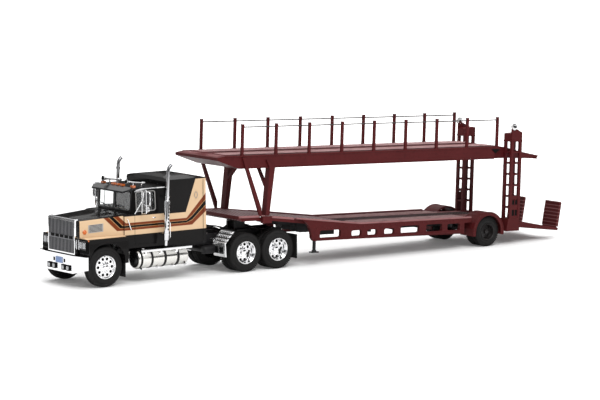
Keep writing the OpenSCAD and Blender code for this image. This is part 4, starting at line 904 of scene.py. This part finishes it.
# ---------------------------------------------------------------- fifth wheel and flaps
# The fifth wheel is a greased black disc on two cheeks. The mud flaps are cut from soft
# black sheet and hang from bars.
grease = Finish("fifth_wheel_black", metallic=0.2, shine=0.25)
grease.mottle((0.006, 0.006, 0.006), (0.022, 0.02, 0.019), 0.25, 0.35, 220, 4)
grease.coat_nodes("fifth_wheel")
flap = Finish("flap_rubber", shine=0.15)
flap.mottle((0.006, 0.006, 0.006), (0.016, 0.015, 0.015), 0.55, 0.2, 400, 4)
flap.bump(flap.z.cycle(1.4).between(0.2, 1.0, 0.3), 0.12, 0.7)
flap.coat_nodes("front_mudflaps", "rear_mudflaps")

gear = Mould()
gear.turn([(-9, 1.9), (9, 1.9)], (88, 0, 15), "Y", 20, ends=True)
gear.tube([(40, 0, 20), (104, 0, 15.5)], 1.2, 10)
for x, y in ((84, 13.2), (84, -13.2)):
    gear.turn([(x, 0.02), (x + 0.1, 2.4), (x + 0.8, 2.8), (x + 8.2, 2.8), (x + 8.9, 2.4), (x + 9, 0.02)],
              (0, y, 15.5), "X", 24)
gear.box((52, -7.3, 19), (60, 7.3, 24.9))
gear.cast("driveline", frame_black, "tractor", "black_plastic", smooth=40)
lines = Mould()
for k, y in enumerate((-2.4, 0, 2.4)):
    lines.tube([(79.8, y, 36 + k), (86, y * 1.3, 33.5 - k), (96, y * 1.1, 29.5), (106, y, 28.0),
                (110, y, 26.2)], 0.35, 8)
lines.cast("air_lines", visor_black, "tractor", "black_plastic", smooth=60)
deck_plate = Mould().box((82, -7.4, 25.0), (92.0, 7.4, 25.6))
deck_plate.cast("frame_deck_plate", tank_metal, "tractor", "polished_metal", bevel=0.15)
tail_lamps = Mould().box((151.9, 4.0, 20.4), (152.5, 8.0, 22.4))
red = Finish("red_lens", coat=1.0)
red.mottle((0.35, 0.012, 0.01), (0.5, 0.02, 0.015), 0.2, 0.1, 400)
tail_lamps.both().cast("tail_lamps", red, "tractor", "amber", bevel=0.15)

# ---------------------------------------------------------------- trailer paint and decks
# The trailer is zinc and plastic castings sprayed one satin dark red. Its decks carry printed
# and engraved tread: diamond plate on the gooseneck, runways with grey grip on both decks.
RED, DARK_RED, PALE_RED = (0.083, 0.0105, 0.0115), (0.035, 0.005, 0.006), (0.4, 0.2, 0.2)


def trailer_paint(name, tread=None):
    """Satin red with worn edges. tread adds a deck's pattern: (mask, colour, height) wires."""
    paint = Finish(name, shine=0.1)
    paint.deck_places()
    tone = paint.noise(55, 4)
    colour = paint.mix(tone, RED, tuple(0.72 * c for c in RED))
    dirt = paint.noise(420, 4).over(0.62, 0.2)
    colour = paint.mix(dirt * 0.35, colour, DARK_RED)
    height = paint.noise(900, 2)
    rough = 0.34 + tone * 0.16
    if tread:
        for mask, over, lift in tread(paint):
            colour = paint.mix(mask, colour, over)
            height = height + mask * lift
    paint.set("Base Color", colour)
    paint.set("Roughness", rough)
    paint.bump(height, 0.05, 0.6)
    return paint


def diamonds(paint, size):
    """Raised crossed bars of diamond plate."""
    a, b = (paint.u + paint.y) / size, (paint.u - paint.y) / size
    cell = (a.math("FLOOR") + b.math("FLOOR")).cycle(2.0).over(0.5, 0.1)
    bar_a = a.cycle(1.0).between(0.36, 0.64, 0.1) * b.cycle(1.0).between(0.12, 0.88, 0.1)
    bar_b = b.cycle(1.0).between(0.36, 0.64, 0.1) * a.cycle(1.0).between(0.12, 0.88, 0.1)
    return bar_a * cell + bar_b * (1 - cell)


def neck_tread(paint):
    top = paint.w.over(-7.0, 0.5) * paint.y.size().under(23.2)
    studs = diamonds(paint, 3.0) * top
    edge = paint.y.size().between(23.6, 24.4, 0.1)
    return [(top * 0.6, (0.2, 0.12, 0.125), 0.0), (studs * 0.85, (0.66, 0.52, 0.53), 3.0),
            (edge * 0.6, PALE_RED, 0.0)]


def lower_tread(paint):
    y = paint.y.size()
    top = paint.w.over(-6.2, 0.2)
    run = y.between(7.6, 21.0, 0.1) * top
    cleats = paint.u.cycle(1.5).between(0.15, 0.75, 0.2) * run
    grooves = (y.between(7.3, 7.9, 0.1) + y.between(20.8, 21.4, 0.1) + y.between(14.0, 14.5, 0.1)) * top
    middle = y.under(6.6) * top
    grip = (paint.u.cycle(1.0).between(0.2, 0.7, 0.2) * middle)
    return [(middle, (0.03, 0.022, 0.022), 0.0), (grip, (0.1, 0.075, 0.075), 1.5),
            (cleats * 0.75, PALE_RED, 2.5), (grooves, (0.012, 0.008, 0.008), -2.0)]


def upper_tread(paint):
    y = paint.y.size()
    top = paint.w.over(42.6, 0.2)
    run = y.between(6.0, 19.4, 0.1) * top
    cleats = paint.u.cycle(1.5).between(0.15, 0.75, 0.2) * run
    channel = (y.between(4.6, 5.9, 0.1) + y.between(19.5, 20.6, 0.1)) * top * paint.u.over(-20)
    return [(cleats * 0.6, PALE_RED, 2.5), (channel, (0.014, 0.009, 0.009), -2.5)]


red_plain = trailer_paint("trailer_red")
neck_red = trailer_paint("neck_tread_red", neck_tread)
lower_red = trailer_paint("lower_deck_red", lower_tread)
upper_red = trailer_paint("upper_deck_red", upper_tread)
neck_red.coat_nodes("gooseneck")
lower_red.coat_nodes("lower_deck", "tail_deck")
upper_red.coat_nodes("upper_deck")
red_plain.coat_nodes("side_frames", "pillars", "deck_braces", "guard_posts_left", "guard_posts_right",
                     "wheel_boxes", "tower_left", "tower_right")


CLEAT_STEP = 1.5
cleat_red = trailer_paint("cleat_red", lambda p: [
    (p.noise(160).over(0.25, 0.4) * 0.85, (0.52, 0.34, 0.34), 0.0)])


def deck_step(along):
    """Spacing of a row of copies down the sloping deck."""
    return tuple(on_deck(along, 0, 0) - on_deck(0, 0, 0))


# Grip bars stand on the lower runways, one row of cleats each side of the middle strip
grip = Mould(on_deck)
for y0, y1 in ((8.0, 13.8), (14.8, 20.6)):
    grip.box((86.0, y0, -5.55), (86.55, y1, -5.15))
repeat("lower_cleats", grip.both(), cleat_red, "trailer", 64,
       step=deck_step(CLEAT_STEP))
grip = Mould(on_deck)
for y0, y1 in ((6.4, 12.4), (13.2, 19.0)):
    grip.box((-23.0, y0, 43.4), (-22.4, y1, 43.75))
repeat("upper_cleats", grip.both(), cleat_red, "trailer", 154,
       step=deck_step(CLEAT_STEP))
grip_tape = Finish("grip_tape", ior=1.03, shine=0.1)
grip_tape.deck_places()
tread = diamonds(grip_tape, 2.6)
grip_tape.set("Base Color", grip_tape.mix(tread, (0.035, 0.026, 0.026), (0.17, 0.13, 0.13)))
grip_tape.set("Roughness", 0.8 + grip_tape.noise(300) * 0.15)
strip = Mould(on_deck)
strip.box((85.0, -6.4, -5.55), (203.0, 6.4, -5.3))
strip.cast("middle_strip", grip_tape, "trailer", "maroon_paint", bevel=0.1)
edge_red = trailer_paint("edge_red", lambda p: [(p.noise(120).over(0.2, 0.5) * 0.6, PALE_RED, 0.0)])
edges = Mould(on_deck)
edges.side_on([(85, -5.6), (183, -5.6), (183, -4.6), (85, -4.6), (30, 1.1), (30, 0.1)], 25.9, 27.3)
edges.side_on([(-15.2, 2.2), (4, 2.2), (30, -0.5), (30, 0.9), (4, 3.6), (-15.2, 3.6)], 23.9, 24.9)
edges.both().cast("deck_edge_rails", edge_red, "trailer", "maroon_paint", bevel=0.2)
foot_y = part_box("pillars")[1].y / MM
strips = Mould(on_deck).box((1.1, foot_y - 0.6, 2.2), (10.3, foot_y + 0.12, 3.1))
strips.both().cast("pillar_foot_strips", tank_metal, "trailer", "polished_metal", bevel=0.1)
front_lip = Mould(on_deck).box((-15.8, -24.6, 1.2), (-14.8, 24.6, 3.5))
front_lip.cast("gooseneck_lip", red_plain, "trailer", "maroon_paint", bevel=0.25)

# Rib plates and rivets along the side frames
rivet = Mould(on_deck).turn([(27.0, 0.42), (27.2, 0.36), (27.32, 0.02)], (47.5, 0, -6.9), n=8).both()
repeat("side_frame_rivets", rivet, red_plain, "trailer", 34,
       step=deck_step(4.0), smooth=60)
lower_lip = Mould(on_deck)
lower_lip.side_on([(45.5, -15.3), (176, -15.3), (176, -14.3), (45.5, -14.3)], 26.8, 27.4)
lower_lip.both().cast("side_frame_lips", red_plain, "trailer", "maroon_paint", bevel=0.15)

# Wheel boxes get a rolled lip round each arch
AXLE_U, AXLE_W = 197.17, -15.83
arch_lip = Mould(on_deck)
arch_lip.tube([(AXLE_U + x, 29.3, AXLE_W + z) for x, z in arc((0, 0), 13.7, -8, 180, 28)], 0.42, 8)
arch_lip.tube([(AXLE_U + x, 29.3, AXLE_W + z) for x, z in arc((0, 0), 11.7, -8, 180, 28)], 0.3, 8)
arch_lip.both().cast("wheel_arch_lips", red_plain, "trailer", "maroon_paint", smooth=60)
trailer_gear = Mould(on_deck)
leaf_stack(trailer_gear, AXLE_U, -12.2, 14, 3, 0.6, 1.4, 8.0, 10.0)
trailer_gear.both().cast("trailer_springs", frame_black, "trailer", "black_plastic")
feet = Mould(on_deck)
feet.turn([(-22.4, 1.6), (-21.6, 1.5), (-21.2, 1.15), (-15.4, 1.15), (-15.1, 1.5)], (46.6, 25.75, 0), "Z", 20)
feet.both().cast("leg_sleeves", frame_black, "trailer", "black_plastic")

# ---------------------------------------------------------------- upper deck edges and rails
# Flanges run along the deck's side beams, a socket holds every post, and thin drawn wire is
# threaded through the tops of the posts.
flange = Mould(on_deck)
flange.side_on([(-27, 42.4), (204.6, 42.4), (204.6, 43.35), (-27, 43.35)], 23.6, 24.45)
flange.side_on([(-14.5, 34.6), (204.6, 34.6), (204.6, 35.3), (-15.2, 35.3)], 23.8, 24.4)
flange.both().cast("upper_beam_flanges", red_plain, "trailer", "maroon_paint", bevel=0.15)
POST_STEP = 27.5463
socket = Mould(on_deck)
socket.box((-13.95, 22.1, 43.1), (-12.05, 24.25, 43.75))
socket.box((-13.95, 22.15, 63.3), (-12.05, 24.1, 63.75))
repeat("post_sockets", socket.both(), red_plain, "trailer", 9,
       step=deck_step(POST_STEP))
wire_metal = Finish("drawn_wire", shine=0.1)
wire_metal.mottle((0.03, 0.026, 0.026), (0.07, 0.06, 0.06), 0.35, 0.15, 2500, 2)
# A near-black triangle in each beam's side, where the deck narrows under its lip, is painted shadow of that
# recess.
notch_shadow = Mould(on_deck).side_on([(202.0, 41.5), (209.4, 41.2), (205.4, 38.6)], 24.0, 24.65)
notch_shadow.both().cast("painted_notch_shadows", deep_black, "trailer", "black_plastic")
wires = Mould(on_deck)
wires.tube([(-14.2, 23.15, 61.8), (208.4, 23.15, 61.8)], 0.4, 8)
wires.both().cast("rail_wires", wire_metal, "trailer", "grey_wire", ["guard_wires"], smooth=60)

# ---------------------------------------------------------------- towers and pulleys
# Each lift tower is a ladder of four legs with rungs. Its cap carries a plated pulley with a
# dark bush, over which the deck's hoist cable would run.
pulley_metal = Finish("pulley_metal", metallic=1.0)
pulley_metal.mottle((0.6, 0.6, 0.6), (0.75, 0.75, 0.76), 0.2, 0.15, 900, 3)
TOWER_U = 215.97
sheave = Mould(on_deck)
sheave.turn([(26.4, 0.75), (26.35, 1.9), (26.45, 2.28), (26.65, 2.3), (27.0, 1.9), (27.4, 1.9), (27.75, 2.3),
             (27.95, 2.28), (28.05, 1.9), (28.0, 0.75)], (TOWER_U + 1.6, 2.2, 57.2), n=40)
sheave.both().cast("pulley_sheaves", pulley_metal, "trailer", "polished_metal", ["pulleys"], smooth=50)
bush = Mould(on_deck)
bush.turn([(26.2, 0.02), (26.2, 0.75), (26.5, 0.8), (28.0, 0.8), (29.5, 0.62), (29.65, 0.02)],
          (TOWER_U + 1.6, 2.2, 57.2), n=20)
bush.both().cast("pulley_bushes", deep_black, "trailer", "black_plastic")
plates = Mould(on_deck)
for edge, w0, w1, y0 in ((0.3, 46.6, 47.6, 20.8), (0.2, -7.8, -7.2, 20.9)):
    u0, u1 = TOWER_U - edge, TOWER_U + 9.6 + edge
    plates.side_on([(u0, w0), (u1, w0), (u1, w1), (u0, w1)], y0, 29.6)
plates.both().cast("tower_bands", red_plain, "trailer", "maroon_paint", bevel=0.15)
low_plate = Mould(on_deck)
low_plate.side_on(rounded(TOWER_U + 1.2, -6.4, TOWER_U + 8.4, 6.2, 0.3), 28.55, 28.75)
low_plate.both().cast("tower_low_plates", red_plain, "trailer", "maroon_paint")
panes = Mould(on_deck)
for u in (TOWER_U + 1.7, TOWER_U + 5.1):
    for w in (-5.7, 0.4):
        panes.side_on(rounded(u, w, u + 2.9, w + 5.1, 0.3), 28.7, 28.85)
panes.both().cast("tower_plate_panes", deep_black, "trailer", "black_plastic")
hoist = Mould(on_deck)
hoist.tube([(TOWER_U + 4.0, 27.2, 55.0), (TOWER_U + 5.0, 27.2, 47.7)], 0.25, 6)
hoist.both().cast("hoist_cables", wire_metal, "trailer", "grey_wire", smooth=60)

# ---------------------------------------------------------------- tail and ramps
# Two pressed ramps hinge on the tail's rear edge and are stowed nearly upright. Their faces
# have cross bars for grip and folded side rails.
HINGE_U, HINGE_W = 263.97, -16.9
HINGE = Vector((KINGPIN_X + HINGE_U * math.cos(PITCH) + HINGE_W * math.sin(PITCH), 0,
                PLATE_Z - HINGE_U * math.sin(PITCH) + HINGE_W * math.cos(PITCH)))
ramp_red = trailer_paint("ramp_red", lambda p: [
    ((p.z - 8.2).cycle(2.4).between(0.3, 0.95, 0.2) * 0.35, PALE_RED, 1.5)])
ramp_red.coat_nodes("ramp_left", "ramp_right")


def on_ramp(side):
    """Places on a stowed ramp: out from its face, across, and up from its hinge."""
    lean = math.radians(11)

    def where(out, y, up):
        return place(HINGE.x + out * math.cos(lean) + up * math.sin(lean), side * y,
                     HINGE.z - out * math.sin(lean) + up * math.cos(lean))
    return where


for side, word in ((-1, "left"), (1, "right")):
    rails = Mould(on_ramp(side))
    for y in (11.4, 26.0):
        rails.box((-1.1, y, 1.8), (-0.4, y + 0.6, 19.3))
    rails.box((-1.1, 11.4, 18.7), (-0.4, 26.6, 19.3))
    rails.cast("ramp_rails_" + word, ramp_red, word + "_ramp", "maroon_paint", bevel=0.1)
    bars = Mould(on_ramp(side)).box((-0.85, 12.2, 2.6), (-0.42, 25.9, 3.1))
    repeat("ramp_bars_" + word, bars, ramp_red, word + "_ramp", 10,
           step=tuple(on_ramp(side)(0, 0, 1.6) - on_ramp(side)(0, 0, 0)))
lamps = Mould(on_deck)
lamps.box((262.4, 2.4, -17.9), (263.0, 6.0, -16.6))
lamps.box((262.4, 6.6, -17.9), (263.0, 9.2, -16.6))
lamps.both().cast("rear_lamps", red, "trailer", "amber", bevel=0.12)
